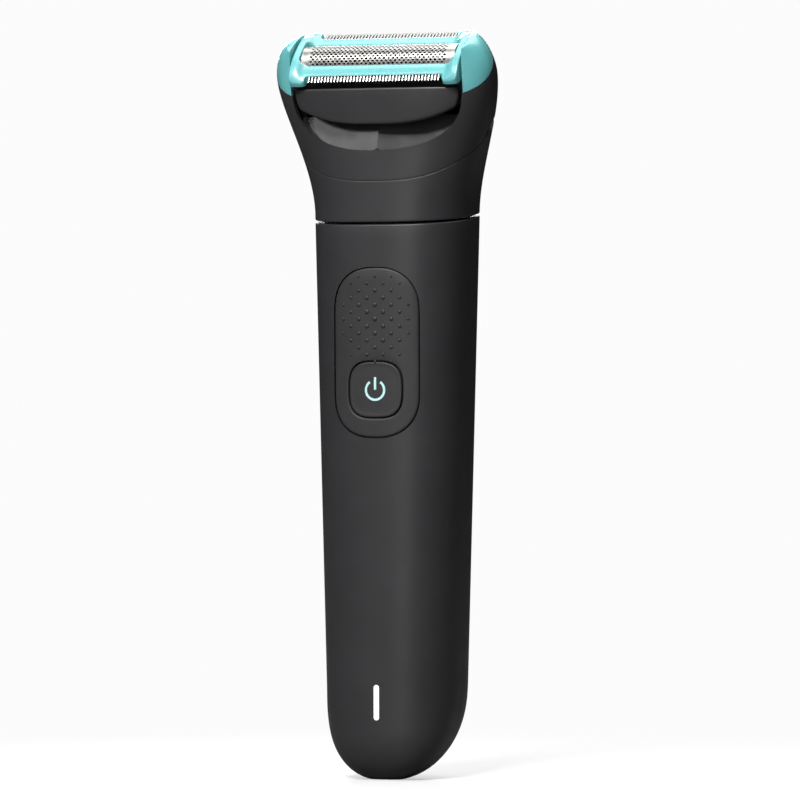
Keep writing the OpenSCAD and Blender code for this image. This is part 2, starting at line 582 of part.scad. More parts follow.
// A collar behind the seam, so that the finger notches don't open into the head.
module rear_collar() intersection() {
    loop_skin(concat(
        rings_between([head_foot[0] + 0.4, head_slope], [head_foot[0] + 6, head_slope], 2, head_wall + 0.15),
        reversed(rings_between([head_foot[0] + 0.4, head_slope], [head_foot[0] + 6, head_slope], 2, head_wall + 0.95))
    ));
    bar([-40, -6, 130], [40, 40, 180]);
}
module head_frame() color("#26262a") difference() {
    union() {
        intersection() {
            in_head() union() {
                mirrored_x() bar([cap_inner_x, -4.5, arm_low], [cap_inner_x + arm_t, 2, -5.4]);
                mirrored_x() bar([19, -7, arm_low], [cap_inner_x + arm_t, 1, -12.9]);
                bar([-19.8, -7.6, arm_low], [19.8, -5, -12.9]);
            }
            inside_head(0.25);
        }
        rear_collar();
    }
    in_head() translate([0, 0, pivot_v]) rotate([0, 90, 0]) cylinder(h = 80, r = pivot_pin_radius + 0.01, center = true);
}
module pivot_pins() color(steel) mirrored_x() in_head() translate([19.2, 0, pivot_v]) rotate([0, 90, 0]) {
    cylinder(h = cap_inner_x + arm_t + 0.02 - 19.2, r = pivot_pin_radius);
    translate([0, 0, cap_inner_x + arm_t + 0.02 - 19.2]) cylinder(h = 0.6, r = 2.2);
}
module return_springs() color(steel) mirrored_x() in_head()
    bar([19.5, -5.3, -12.65], [cap_inner_x - 0.02, 2.6, -12.45]);

// Arched top of the end caps and of the frame's ends, in the head's axes.
function arch(u, half_u, low, high, p) = low + (high - low) * pow(1 - pow(min(1, abs(u) / half_u), p), 1 / p);
module arch_2d(half_u, low, high, p, base) polygon(concat(
    [for (k = [-12:12]) let (u = half_u * sin(k * 7.5)) [u, arch(u, half_u, low, high, p)]],
    [[half_u, base], [-half_u, base]]));
module along_x(x0, x1) translate([x0, 0, 0]) rotate([90, 0, 90]) linear_extrude(x1 - x0) children();
cap_peak_u = -5;
cap_peak_v = 4.65;
cap_bend_back = 0.018;
cap_bend_front = 0.12;
function cap_top(u) = cap_peak_v - (u > cap_peak_u ? cap_bend_back : cap_bend_front) * pow(u - cap_peak_u, 2);
cap_line = [for (u = [-14:1:14]) [u, cap_top(u)]];
module cap_profile() polygon(concat(cap_line, [[14, -30], [-14, -30]]));
module above_profile() polygon(concat(cap_line, [[14, 30], [-14, 30]]));
module right_cap_solid() intersection() {
    head_form();
    in_head() along_x(cap_inner_x, 30) cap_profile();
    above_leaf(cap_inner_x, 30, 0.05);
}
module left_end_cap() color(teal) mirror([1, 0, 0]) right_cap_solid();
module right_end_cap() color(teal) right_cap_solid();

// --- Shaving unit, in the head's axes --------------------------------------------------------------
unit_half_x = 20.8;
window_half_x = 19.1;
wall_u = 6;
wall_t = 0.9;
cradle_low = -11.6;
cradle_high = -1.9;
rod_u = 3.4;
rod_v = -6.9;
rod_radius = 0.8;
module cradle_end_2d() polygon([[-wall_u - wall_t, cradle_high], [-wall_u - wall_t, cradle_low], [2.6, cradle_low],
    [4, -7], [4.4, -3.2], [wall_u + wall_t, -2.8], [wall_u + wall_t, cradle_high]]);
module cradle() color(rubber_black) in_head() difference() {
    union() {
        mirrored_x() along_x(19.3, unit_half_x - 0.1) cradle_end_2d();
        bar([-19.6, -wall_u - wall_t, -8.4], [19.6, -wall_u, cradle_high - 0.1]);
        bar([-19.6, wall_u, -2.9], [19.6, wall_u + wall_t, cradle_high - 0.1]);
        bar([-11.5, wall_u, -5.4], [11.5, wall_u + wall_t, -2.8]);
    }
    translate([0, 0, pivot_v]) rotate([0, 90, 0]) cylinder(h = 80, r = pivot_pin_radius + 0.06, center = true);
    mirrored_y() translate([0, rod_u, rod_v]) rotate([0, 90, 0]) cylinder(h = 80, r = rod_radius + 0.01, center = true);
}
module guide_rods() color(steel) in_head() mirrored_y() translate([0, rod_u, rod_v]) rotate([0, 90, 0])
    cylinder(h = 41, r = rod_radius, center = true);

apron_top = 160.6;
apron_bottom = 152.2;
apron_rise = 3.7;
apron_half_x = 19.4;
apron_top_half_x = 20.2;
module apron_outline() polygon(concat(
    [for (k = [-10:10]) let (x = apron_half_x * k / 10) [x, apron_bottom + apron_rise * pow(abs(x) / 19, 2.8)]],
    [[apron_top_half_x, apron_top - 2], [apron_top_half_x, apron_top],
     [-apron_top_half_x, apron_top], [-apron_top_half_x, apron_top - 2]]));
module front_apron() color(charcoal) {
    intersection() {
        loop_skin(concat(
            rings_between([150, 0], [163, 0], 5, 0.15),
            reversed(rings_between([150, 0], [163, 0], 5, 1.25))
        ));
        translate([0, -8.5, 0]) rotate([90, 0, 0]) linear_extrude(15) apron_outline();
    }
    mirrored_x() in_head() bar([11, -9.6, -3.6], [12.2, -wall_u - wall_t - 0.02, -2.6]);
}

bar_top = 1.3;
bar_outer_u = 7.15;
ear_half_x = 16.9;
ear_low = -1.85;
module bar_2d() polygon([[3.9, 0.85], [3.9, bar_top], [5.4, bar_top - 0.05], [6.6, bar_top - 0.32],
    [bar_outer_u - 0.1, bar_top - 0.5], [bar_outer_u, guard_top + 0.02], [4.25, guard_top + 0.02]]);
module front_ear_2d() polygon([[3.9, 0.85], [3.9, bar_top], [5.4, bar_top - 0.05], [7.2, bar_top - 0.45], [8.3, 0.4],
    [8.9, -0.1], [9, -0.6], [8.6, -1], [6.2, ear_low], [4.6, ear_low], [4.6, 0.3]]);
module rear_ear_2d() polygon([[3.9, 0.85], [3.9, bar_top], [7.4, bar_top - 0.02], [8.8, 1.1], [9.5, 0.7],
    [9.8, 0], [9.5, -0.9], [8.6, -1.5], [6.2, ear_low], [4.6, ear_low], [4.6, 0.3]]);
module frame_wall_2d(outer_u, outer_low) intersection() {
    arch_2d(10, -4, 3.05, 2.6, ear_low);
    polygon([[-0.01, ear_low], [6, ear_low], [outer_u, outer_low], [outer_u, 8], [-0.01, 8]]);
}
module foil_frame() color(teal) in_head() {
    mirrored_y() along_x(-window_half_x, window_half_x) bar_2d();
    mirrored_x() along_x(ear_half_x, window_half_x + 0.1) rear_ear_2d();
    mirrored_x() mirror([0, 1, 0]) along_x(ear_half_x, window_half_x + 0.1) front_ear_2d();
    mirrored_x() along_x(window_half_x, unit_half_x) frame_wall_2d(9.4, -1.4);
    mirrored_x() mirror([0, 1, 0]) along_x(window_half_x, unit_half_x) frame_wall_2d(8.7, -1);
}
foil_v = -1.5;
foil_t = 0.12;
foil_leg = 1.9;
foil_half_x = 18.9;
module shaving_foil() color("#c9c9c6") in_head() translate([0, 0, foil_v]) along_x(-foil_half_x, foil_half_x)
    difference() {
        union() {
            intersection() {
                circle(r = foil_radius, $fn = 96);
                translate([-10, 0]) square([20, 10]);
            }
            translate([-foil_radius, -foil_leg]) square([2 * foil_radius, foil_leg]);
        }
        circle(r = foil_radius - foil_t, $fn = 96);
        translate([-foil_radius + foil_t, -foil_leg - 1]) square([2 * (foil_radius - foil_t), foil_leg + 1]);
    }
guard_top = 0.6;
guard_t = 0.4;
guard_bend_u = 7;       // where the combs bend down
guard_half_x = 16.6;
guard_back = 4.7;
guard_tooth_w = 0.46;
tooth_root = 6.8;
front_tilt = 24;        // how far the front comb bends
front_tip = 8.6;
rear_tilt = 7;          // how far the rear comb bends
rear_tip = 9.6;
// A comb that lies flat in the head's X-Y plane, with round tooth tips at y = tip.
module comb_2d(half_x, root, tip, back, pitch, tooth_w) {
    count = floor((half_x - tooth_w / 2) / pitch);
    translate([-half_x, back]) square([2 * half_x, root - back]);
    for (k = [-count:count]) translate([k * pitch, 0]) {
        translate([-tooth_w / 2, root - 0.1]) square([tooth_w, tip - tooth_w / 2 - root + 0.1]);
        translate([0, tip - tooth_w / 2]) circle(d = tooth_w, $fn = 16);
    }
}
// A bent sheet along X with its upper face at v = top, cut to a comb.
module bent_comb(half_x, top, tilt, root, tip, back, pitch, tooth_w) intersection() {
    drop = (tip + 0.3 - guard_bend_u) * tan(tilt);
    along_x(-half_x, half_x) polygon([[back, top], [guard_bend_u, top], [tip + 0.3, top - drop],
        [tip + 0.3, top - drop - guard_t], [guard_bend_u, top - guard_t], [back, top - guard_t]]);
    translate([0, 0, top - 5]) linear_extrude(10) comb_2d(half_x, root, tip, back, pitch, tooth_w);
}
module guard(tilt, tip) in_head()
    bent_comb(guard_half_x, guard_top, tilt, tooth_root, tip, guard_back, tooth_pitch, guard_tooth_w);
module mirror_unit() in_head() mirror([0, 1, 0]) rotate([-head_tilt, 0, 0]) translate(-head_origin) children();
module rear_guard() color(steel) guard(rear_tilt, rear_tip);
module front_guard() color(steel) mirror_unit() guard(front_tilt, front_tip);

// --- Moving cutters --------------------------------------------------------------------------------
blade_top = guard_top - guard_t - 0.04;
blade_low = blade_top - guard_t;
blade_setback = 0.5;    // from the comb's tooth tips to the blade's
module trimmer_blade(tilt, tip) in_head()
    bent_comb(15.1, blade_top, tilt, tooth_root + 0.1, tip - blade_setback, 4.9, 1.5 * tooth_pitch, 0.7);
module rear_blade() color("#9a9a9c") trimmer_blade(rear_tilt, rear_tip);
module front_blade() color("#9a9a9c") mirror_unit() trimmer_blade(front_tilt, front_tip);
carriage_top = -6.3;
module cutter_carriage() color("#e8e4da") in_head() difference() {
    union() {
        bar([-13.5, -5.7, -7.5], [13.5, 5.7, carriage_top]);
        mirrored_x() mirrored_y() bar([9, 2.1, -8.2], [13.5, 4.7, -5.6]);
        mirrored_y() bar([-13.5, 4.8, carriage_top - 0.1], [13.5, 5.7, blade_low - 0.02]);
        bar([-3.7, -4.2, -10.7], [3.7, 4.2, -7.4]);
    }
    bar([-ball_radius - 0.05, -2.9, -12], [ball_radius + 0.05, 2.9, -7.2]);
    mirrored_y() translate([0, rod_u, rod_v]) rotate([0, 90, 0]) cylinder(h = 80, r = rod_radius + 0.05, center = true);
}
cutter_radius = 4.15;
holder_low = -2.7;
module inner_cutter() color("#b5b5b8") in_head() {
    bar([-16.4, -2.6, holder_low], [16.4, 2.6, -1.9]);
    count = floor(15.9 / blade_pitch);
    for (k = [-count:count]) along_x(k * blade_pitch - 0.15, k * blade_pitch + 0.15) intersection() {
        translate([0, foil_v]) circle(r = cutter_radius);
        translate([-5, -2.1]) square([10, 8]);
    }
}
spring_turns = 4;
spring_steps = 14;
spring_wire = 0.22;
spring_radius = 1.35;
module coil(height) {
    n = spring_turns * spring_steps;
    skin([for (i = [0:n]) let (a = 360 * i / spring_steps, z = spring_wire + (height - 2 * spring_wire) * i / n)
        [for (j = [5:-1:0]) let (r = spring_radius + spring_wire * cos(60 * j))
            [r * cos(a), r * sin(a), z + spring_wire * sin(60 * j)]]]);
}
module cutter_springs() color(steel) in_head() for (s = [-1, 1])
    translate([9 * s, 0, carriage_top + 0.02]) coil(holder_low - carriage_top - 0.04);

// --- Assembly ----------------------------------------------------------------------------------------
handle_housing();
front_panel();
rear_grip();
button_seal();
indicator_lens();
chassis();
circuit_board();
board_components();
tact_switch();
battery_cell();
battery_tabs();
motor_can();
motor_leads();
charging_socket();
contact_pins();
socket_gasket();
chassis_screws();
handle_cap();
cap_seal();
shaft_seal();
power_button();
power_symbol();
motor_shaft();
eccentric();
neck_shell();
neck_base();
detent_springs();
rocker_bracket();
bracket_screws();
rocker_pin();
drive_rocker();
head_shell();
head_frame();
chin_plate();
left_end_cap();
right_end_cap();
pivot_pins();
return_springs();
cradle();
front_apron();
foil_frame();
shaving_foil();
front_guard();
rear_guard();
guide_rods();
cutter_carriage();
inner_cutter();
cutter_springs();
front_blade();
rear_blade();
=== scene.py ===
"""The looks of the body groomer: smooth shells, perforated foil, combs and materials around the CAD frame.

Sizes are in millimetres and are turned to metres when a mesh is made. The shells are lofted from the
same sections as the CAD part. The plates on the handle take their places from the boxes of their CAD
nodes, and the other sizes are those of the CAD part.
"""
import json
import math

import bmesh
import bpy
import numpy as np
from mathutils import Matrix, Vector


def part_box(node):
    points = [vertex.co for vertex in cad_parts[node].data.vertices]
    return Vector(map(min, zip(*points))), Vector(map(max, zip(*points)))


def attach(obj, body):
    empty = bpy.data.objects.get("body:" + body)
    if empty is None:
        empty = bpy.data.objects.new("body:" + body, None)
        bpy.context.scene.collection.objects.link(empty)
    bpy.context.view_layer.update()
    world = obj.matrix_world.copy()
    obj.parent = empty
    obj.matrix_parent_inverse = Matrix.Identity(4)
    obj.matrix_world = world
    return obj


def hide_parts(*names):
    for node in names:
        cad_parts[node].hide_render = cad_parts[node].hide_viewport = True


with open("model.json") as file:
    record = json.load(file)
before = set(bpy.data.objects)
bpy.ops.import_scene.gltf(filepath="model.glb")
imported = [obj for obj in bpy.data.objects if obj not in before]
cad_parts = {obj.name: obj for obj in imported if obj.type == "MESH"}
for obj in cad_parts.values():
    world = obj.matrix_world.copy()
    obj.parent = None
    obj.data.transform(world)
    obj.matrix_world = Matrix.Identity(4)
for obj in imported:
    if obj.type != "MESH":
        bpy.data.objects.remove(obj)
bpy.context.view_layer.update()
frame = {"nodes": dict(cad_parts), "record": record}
MM = 0.001


def node_box(node):
    """The lowest and highest corner of a CAD node, in millimetres."""
    low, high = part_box(node)
    return np.array(low) / MM, np.array(high) / MM


# --- Sizes --------------------------------
def plate_of(node):
    """Middle height, half width and half height of a plate on the handle, in millimetres."""
    low, high = node_box(node)
    return (low[2] + high[2]) / 2, high[0], (high[2] - low[2]) / 2


PANEL_Z, PANEL_HALF_W, PANEL_HALF_H = plate_of("front_panel")
BUTTON_Z, BUTTON_HALF, _ = plate_of("power_button")
GRIP_Z, GRIP_HALF_W, GRIP_HALF_H = plate_of("rear_grip")
LENS_Z, LENS_HALF_W, LENS_HALF_H = plate_of("indicator_lens")

SQUARENESS = 2.75                       # exponent of the handle's squarish sections
HEAD_SQUARENESS, HEAD_BLEND = 2.4, 20   # the same behind the head, and the height over which it is reached
FOOT_FLAT, FOOT_TOP, FOOT_Y = 0.35, 22.0, -7.5
FOOT_SIDE, FOOT_FRONT, FOOT_BACK = (20, 2.35), (12, 2.2), (FOOT_TOP, 1.7)   # height and exponent
HANDLE_TOP = 131.0
TOP_HALF_W, TOP_HALF_D = node_box("handle_housing")[1][0], 15.7
FOOT_HALF_W, FOOT_HALF_D = 15.85, 14.6
HEAD_HALF_W, FLARE = 26.95, 35.5        # half width of the head, and the height over which it is reached
BACK_BEND, WIDE_BEND = (0.018, 1.85), (0.014, 1.8)      # how the back and the widest line lean forward
LEAN_START, LEAN_HEIGHT, LEAN = 146, 16, 1.6            # how the front stands out below the foil
TILT = math.radians(40)
SEAM_SLOPE = math.tan(math.radians(6.5))
HEAD_SLOPE = math.tan(TILT)
FORM_SLOPE = math.tan(math.radians(30.4))
HANDLE_RIM = (HANDLE_TOP - 0.25, SEAM_SLOPE)
NECK_RIM = (HANDLE_TOP + 0.25, SEAM_SLOPE)
NECK_TOP = (152.15, HEAD_SLOPE)
HEAD_FOOT = (152.25, HEAD_SLOPE)
FORM_TOP = (182.0, FORM_SLOPE)
HEAD_ORIGIN = np.array([0, -10.5, 167.65])
AROUND, PLANE_STEPS = 176, 30           # points round each shell, and steps that find a sloping plane
RIM_RADIUS, SEAM_RADIUS = 0.35, 0.1     # rounding of the rims at the handle's seam and at the head's


def columns(*values):
    """Points, one per row, from their coordinates."""
    return np.stack(values, axis=1)


# --- Sections -----------------------------
def smooth(t):
    c = np.clip(t, 0, 1)
    return c * c * (3 - 2 * c)


def foot_round(z, height, power):
    """Goes from 0 at the foot's flat to 1 at height."""
    t = np.clip(1 - (z + FOOT_FLAT) / height, 0, 1)
    return (1 - t ** power) ** (1 / power)


def straight(z):
    """Goes from 0 above the foot to 1 at the handle's top."""
    return (z - FOOT_TOP) / (HANDLE_TOP - FOOT_TOP)


def half_width(z):
    taper = FOOT_HALF_W + (TOP_HALF_W - FOOT_HALF_W) * np.minimum(1, straight(z))
    return taper * foot_round(z, *FOOT_SIDE) + (HEAD_HALF_W - TOP_HALF_W) * smooth((z - HANDLE_TOP) / FLARE)


def half_depth(z):
    return FOOT_HALF_D + (TOP_HALF_D - FOOT_HALF_D) * np.minimum(1, straight(z))


def past(z, scale, power):
    """A lean that starts at the handle's top."""
    return scale * np.maximum(z - HANDLE_TOP, 0) ** power


def front_y(z):
    foot = FOOT_Y - (half_depth(z) + FOOT_Y) * foot_round(z, *FOOT_FRONT)
    return np.where(z < FOOT_TOP, foot, -half_depth(z) - LEAN * smooth((z - LEAN_START) / LEAN_HEIGHT))


def back_y(z):
    foot = FOOT_Y + (half_depth(z) - FOOT_Y) * foot_round(z, *FOOT_BACK)
    return np.where(z < FOOT_TOP, foot, half_depth(z) - past(z, *BACK_BEND))


def wide_y(z):
    return np.where(z < FOOT_TOP, (front_y(z) + back_y(z)) / 2, -past(z, *WIDE_BEND))


def section(z, t, inset=0.0):
    """X and Y of the shell at height z and angle t, moved in by inset."""
    c, s = np.cos(t), np.sin(t)
    back = SQUARENESS + (HEAD_SQUARENESS - SQUARENESS) * np.clip((z - HANDLE_TOP) / HEAD_BLEND, 0, 1)
    power = np.where(s < 0, SQUARENESS, back)
    reach = np.where(s < 0, wide_y(z) - front_y(z), back_y(z) - wide_y(z))
    x = (half_width(z) - inset) * np.sign(c) * np.abs(c) ** (2 / power)
    y = wide_y(z) + np.maximum(0.05, reach - inset) * np.sign(s) * np.abs(s) ** (2 / power)
    return x, y


def sloping_ring(z0, slope, inset=0.0, count=AROUND):
    """Points where the surface meets the plane z = z0 + slope * y."""
    t = np.arange(count) * 2 * math.pi / count
    z = np.full(count, float(z0))
    for _ in range(PLANE_STEPS):
        z = z0 + slope * section(z, t, inset)[1]
    x, y = section(z, t, inset)
    return columns(x, y, z)


def rings(start, end, count, inset=0.0):
    """Sloping rings between two planes, each given as (z at y = 0, slope)."""
    return [sloping_ring(start[0] + (end[0] - start[0]) * k / count,
                         start[1] + (end[1] - start[1]) * k / count, inset) for k in range(count + 1)]


CAP_INNER_X, CAP_PEAK_U, CAP_PEAK_V = 21.2, -5.0, 4.65
CAP_BEND_BACK, CAP_BEND_FRONT = 0.018, 0.12
DOME_HEIGHT, DOME_POWER, DOME_GAP = 12.0, 2.25, 0.35
LEAF_TIP_Y, LEAF_Z, LEAF_SLOPE, LEAF_BEND = -16.5, 157.6, 0.5, 0.068
THINNEST = 0.1          # share of its width that the domed edge keeps


def cap_top(u):
    """Height over the head's plane of the end caps' inner edge."""
    return CAP_PEAK_V - np.where(u > CAP_PEAK_U, CAP_BEND_BACK, CAP_BEND_FRONT) * (u - CAP_PEAK_U) ** 2


def leaf_z(y):
    """Height of the line where the end caps meet the shell."""
    s = y - LEAF_TIP_Y
    return LEAF_Z + LEAF_SLOPE * s + LEAF_BEND * s * np.maximum(0, s)


def domed(points):
    """Draws the outer form in towards the end caps' inner faces near its upper edge."""
    x, y, z = points.T
    dy, dz = y - HEAD_ORIGIN[1], z - HEAD_ORIGIN[2]
    u = dy * math.cos(TILT) + dz * math.sin(TILT)
    v = dz * math.cos(TILT) - dy * math.sin(TILT)
    rise = np.clip((v - cap_top(u) - DOME_GAP) / DOME_HEIGHT + 1, 0, 1)
    share = np.maximum(THINNEST, (1 - rise ** DOME_POWER) ** (1 / DOME_POWER))
    drawn = np.sign(x) * (CAP_INNER_X + (np.abs(x) - CAP_INNER_X) * share)
    return columns(np.where(np.abs(x) < CAP_INNER_X, x, drawn), y, z)


def lip(plane, radius, direction, inset=0.0, steps=4):
    """Rings that round the edge at a plane. direction is 1 where the plane ends the shell upwards."""
    made = []
    for k in range(steps + 1):
        a = math.pi / 2 * k / steps
        drop = radius * (1 - math.sin(a)) * direction
        made.append(sloping_ring(plane[0] - drop, plane[1], inset + radius * (1 - math.cos(a))))
    return made


def front_surface(x, z, depth):
    """Y on the front of the outer form, a depth below its skin."""
    ratio = np.minimum(0.998, np.abs(x) / (half_width(z) - depth))
    reach = wide_y(z) - front_y(z) - depth
    return wide_y(z) - reach * (1 - ratio ** SQUARENESS) ** (1 / SQUARENESS)


def back_surface(x, z, depth):
    """Y on the back of the straight handle, a depth below its skin."""
    ratio = np.minimum(0.998, np.abs(x) / (half_width(z) - depth))
    return (half_depth(z) - depth) * (1 - ratio ** SQUARENESS) ** (1 / SQUARENESS)


# --- Mesh tools ---------------------------
def linked(name, data):
    """A new object in the scene."""
    obj = bpy.data.objects.new(name, data)
    bpy.context.scene.collection.objects.link(obj)
    return obj


def make_object(name, points, faces, sharp=35):
    mesh = bpy.data.meshes.new(name)
    mesh.from_pydata([tuple(p) for p in np.asarray(points, float) * MM], [], faces)
    mesh.validate()
    obj = linked(name, mesh)
    bm = bmesh.new()
    bm.from_mesh(mesh)
    bmesh.ops.recalc_face_normals(bm, faces=bm.faces)
    bm.to_mesh(mesh)
    bm.free()
    soften(obj, sharp)
    return obj


def soften(obj, sharp=35):
    """Smooth shading that breaks where faces turn by more than sharp degrees."""
    obj.data.shade_smooth()
    obj.data.set_sharp_from_angle(angle=math.radians(sharp))


def loft(name, loops, closed=False, sharp=35):
    """A solid through loops of equal length: with flat ends, or joined into a ring."""
    n, m = len(loops[0]), len(loops)
    faces = []
    for k in range(m if closed else m - 1):
        for i in range(n):
            j, q = (i + 1) % n, (k + 1) % m
            faces.append((k * n + i, k * n + j, q * n + j, q * n + i))
    if not closed:
        faces += [tuple(range(n)), tuple(range((m - 1) * n, m * n))]
    return make_object(name, np.concatenate(loops), faces, sharp)


def apply_modifier(obj, modifier):
    bpy.context.view_layer.objects.active = obj
    bpy.ops.object.modifier_apply(modifier=modifier.name)


def boolean(obj, other, operation="DIFFERENCE", sharp=35):
    """Cuts or joins another mesh, which is then removed."""
    modifier = obj.modifiers.new("cut", "BOOLEAN")
    modifier.operation, modifier.solver, modifier.object = operation, "EXACT", other
    apply_modifier(obj, modifier)
    bpy.data.objects.remove(other)
    soften(obj, sharp)
    return obj


def bevel(obj, width, segments=2, angle=40, sharp=35):
    """Rounds the edges that turn by more than angle degrees."""
    modifier = obj.modifiers.new("bevel", "BEVEL")
    modifier.width, modifier.segments = width * MM, segments
    modifier.limit_method, modifier.angle_limit = "ANGLE", math.radians(angle)
    modifier.harden_normals = False
    apply_modifier(obj, modifier)
    soften(obj, sharp)
    return obj


def join(objects, name):
    bpy.ops.object.select_all(action="DESELECT")
    for obj in objects:
        obj.select_set(True)
    bpy.context.view_layer.objects.active = objects[0]
    bpy.ops.object.join()
    objects[0].name = name
    return objects[0]


def head_points(points):
    """Turns points from the head's axes (along the foil, across it, out of it) into the part's frame."""
    p = np.asarray(points, float)
    y = p[:, 1] * math.cos(TILT) - p[:, 2] * math.sin(TILT)
    z = p[:, 1] * math.sin(TILT) + p[:, 2] * math.cos(TILT)
    return columns(p[:, 0], y, z) + HEAD_ORIGIN


def head_prism(name, outline, x0, x1):
    """A solid along X from a closed outline of (across, out) points in the head's axes."""
    return loft(name, [head_points([(x, u, v) for u, v in outline]) for x in (x0, x1)])


def head_box(name, low, high):
    """A box in the head's axes."""
    corners = [(x, u, v) for x in (low[0], high[0]) for u in (low[1], high[1]) for v in (low[2], high[2])]
    faces = [(0, 1, 3, 2), (4, 6, 7, 5), (0, 4, 5, 1), (2, 3, 7, 6), (0, 2, 6, 4), (1, 5, 7, 3)]
    return make_object(name, head_points(corners), faces)


def front_prism(name, outline, y0, y1):
    """A solid along Y from a closed outline of (X, Z) points."""
    return loft(name, [np.array([(x, y, z) for x, z in outline]) for y in (y0, y1)])


# --- Outlines -----------------------------
def squircle(half_w, half_h, power, count=96):
    """A closed outline between an ellipse (power 2) and a rectangle."""
    t = np.arange(count) * 2 * math.pi / count
    c, s = np.cos(t), np.sin(t)
    return columns(half_w * np.sign(c) * np.abs(c) ** (2 / power),
                   half_h * np.sign(s) * np.abs(s) ** (2 / power))


def long_outline(half_w, half_h, power=2.4, corner=20, side=16):
    """Straight sides and squarish round ends."""
    t = np.arange(corner + 1) * math.pi / 2 / corner
    reach = half_h - half_w
    arc = columns(half_w * np.cos(t) ** (2 / power), reach + half_w * np.sin(t) ** (2 / power))
    left = [(-half_w, reach * (1 - 2 * k / side)) for k in range(1, side)]
    right = [(half_w, -reach * (1 - 2 * k / side)) for k in range(1, side)]
    top = np.concatenate([arc, arc[-2::-1] * [-1, 1]])
    return np.concatenate([top, left, -top, right])


def around(outline, centre, half, power):
    """A squircle about centre with one point in the direction of each point of an outline."""
    away = outline - centre
    angle = np.arctan2(away[:, 1], away[:, 0])
    total = (np.abs(np.cos(angle)) / half) ** power + (np.abs(np.sin(angle)) / half) ** power
    radius = total ** (-1 / power)
    return centre + columns(radius * np.cos(angle), radius * np.sin(angle))


def inset_outline(points, distance):
    """Moves each point of a counter-clockwise outline in along its normal."""
    tangent = np.roll(points, -1, axis=0) - np.roll(points, 1, axis=0)
    tangent /= np.maximum(np.linalg.norm(tangent, axis=1, keepdims=True), 1e-9)
    normal = columns(-tangent[:, 1], tangent[:, 0])
    return points + normal * distance


def soft_corners(corners, spacing=0.5, rounds=2):
    """An outline with evenly spaced points whose corners are rounded."""
    closed = np.vstack([corners, corners[:1]])
    length = np.concatenate([[0], np.cumsum(np.linalg.norm(np.diff(closed, axis=0), axis=1))])
    at = np.linspace(0, length[-1], int(length[-1] / spacing), endpoint=False)
    points = columns(*(np.interp(at, length, closed[:, k]) for k in (0, 1)))
    for _ in range(rounds):
        points = (np.roll(points, 1, axis=0) + 2 * points + np.roll(points, -1, axis=0)) / 4
    return points


def draped(outline, z_mid, depth, surface):
    """Lays an outline on a surface of the shell, a depth below its skin."""
    x, z = outline[:, 0], outline[:, 1] + z_mid
    return columns(x, surface(x, z, depth), z)


def pad(name, outline, z_mid, surface, profile, back, steps=10):
    """A plate on a surface. profile lists (inset from the edge, depth below the surface), face first."""
    spread = np.linspace(0.02, 1, steps + 1)
    face_inset, face_depth = profile[0]
    face = inset_outline(outline, face_inset)
    loops = [draped(face * f, z_mid, face_depth, surface) for f in spread]
    loops += [draped(inset_outline(outline, d), z_mid, depth, surface) for d, depth in profile[1:]]
    loops += [draped(outline * f, z_mid, back, surface) for f in reversed(spread)]
    return loft(name, loops)


def framed_pad(name, outline, hole, z_mid, surface, profile, back, steps=8):
    """A plate on a surface with a hole, whose outline has as many points as the plate's."""
    spread = np.linspace(0, 1, steps + 1)
    face_inset, face_depth = profile[0]
    outer, inner = inset_outline(outline, face_inset), inset_outline(hole, -face_inset)
    loops = [draped(inner + (outer - inner) * f, z_mid, face_depth, surface) for f in spread]
    loops += [draped(inset_outline(outline, d), z_mid, depth, surface) for d, depth in profile[1:]]
    loops += [draped(outline + (hole - outline) * f, z_mid, back, surface) for f in spread]
    loops += [draped(inset_outline(hole, -d), z_mid, depth, surface) for d, depth in reversed(profile[1:])]
    return loft(name, loops, closed=True)


# --- Handle -------------------------------
WALL = 2.0
CAVITY_Z = (16.4, 11.4, 7.4, 4.4, 3.0)      # rings that close the hollow towards the foot
PANEL_GAP, GRIP_GAP, BUTTON_GAP, LENS_GAP, BUTTON_SEAM = 0.25, 0.15, 0.1, 0.05, 0.25
PANEL_RECESS, GRIP_RECESS = 1.25, 1.05
PANEL_BACK, BUTTON_BACK, LENS_BACK = 1.1, 1.3, 2.4      # how deep each piece reaches below the skin
BUTTON_POWER, LENS_POWER = 3, 2
SOCKET_OPENING, SOCKET_Z = (4.85, 3.25, -0.4), (-1, 8)  # half length, half width and Y of its hole; its ends
CLEAR = [(0, -0.6)]     # face of a cutting pad, proud of the skin

# Edge profiles: (inset from the outline, depth below the skin), face first.
ROUND_EDGE = [(0.35, 0.0), (0.16, 0.05), (0.05, 0.16), (0.0, 0.35)]
BUTTON_EDGE = [(0.9, 0.06), (0.55, 0.0), (0.3, -0.02), (0.12, 0.05), (0.02, 0.25)]
LENS_EDGE = [(0.3, 0.0), (0.1, 0.06), (0, 0.2)]

DOT_PITCH_X, DOT_PITCH_Z = 2.0, 3.3
DOT_LOW, DOT_ROWS, DOT_COLUMNS = 97.2, 13, range(-5, 6)
DOT_MID, DOT_HALF_W, DOT_HALF_H = 107.1, 9.6, 11.5
DOT_RADIUS, DOT_HEIGHT = 0.6, 0.25
DOT_SMALLEST, DOT_EDGE_SHARE = 0.08, 0.45
DOT_FORM = ((0.05, DOT_HEIGHT), (0.55, 0.86 * DOT_HEIGHT), (0.88, 0.45 * DOT_HEIGHT),
            (1.0, -0.12), (0.05, -0.15))    # (share of the radius, height over the skin)

SYMBOL_Z, SYMBOL_R, SYMBOL_STROKE, SYMBOL_GAP = BUTTON_Z - 0.1, 2.25, 0.55, 35
SYMBOL_BAR, SYMBOL_PROUD, SYMBOL_ROOT = (0.1, 3.0), 0.02, -0.3

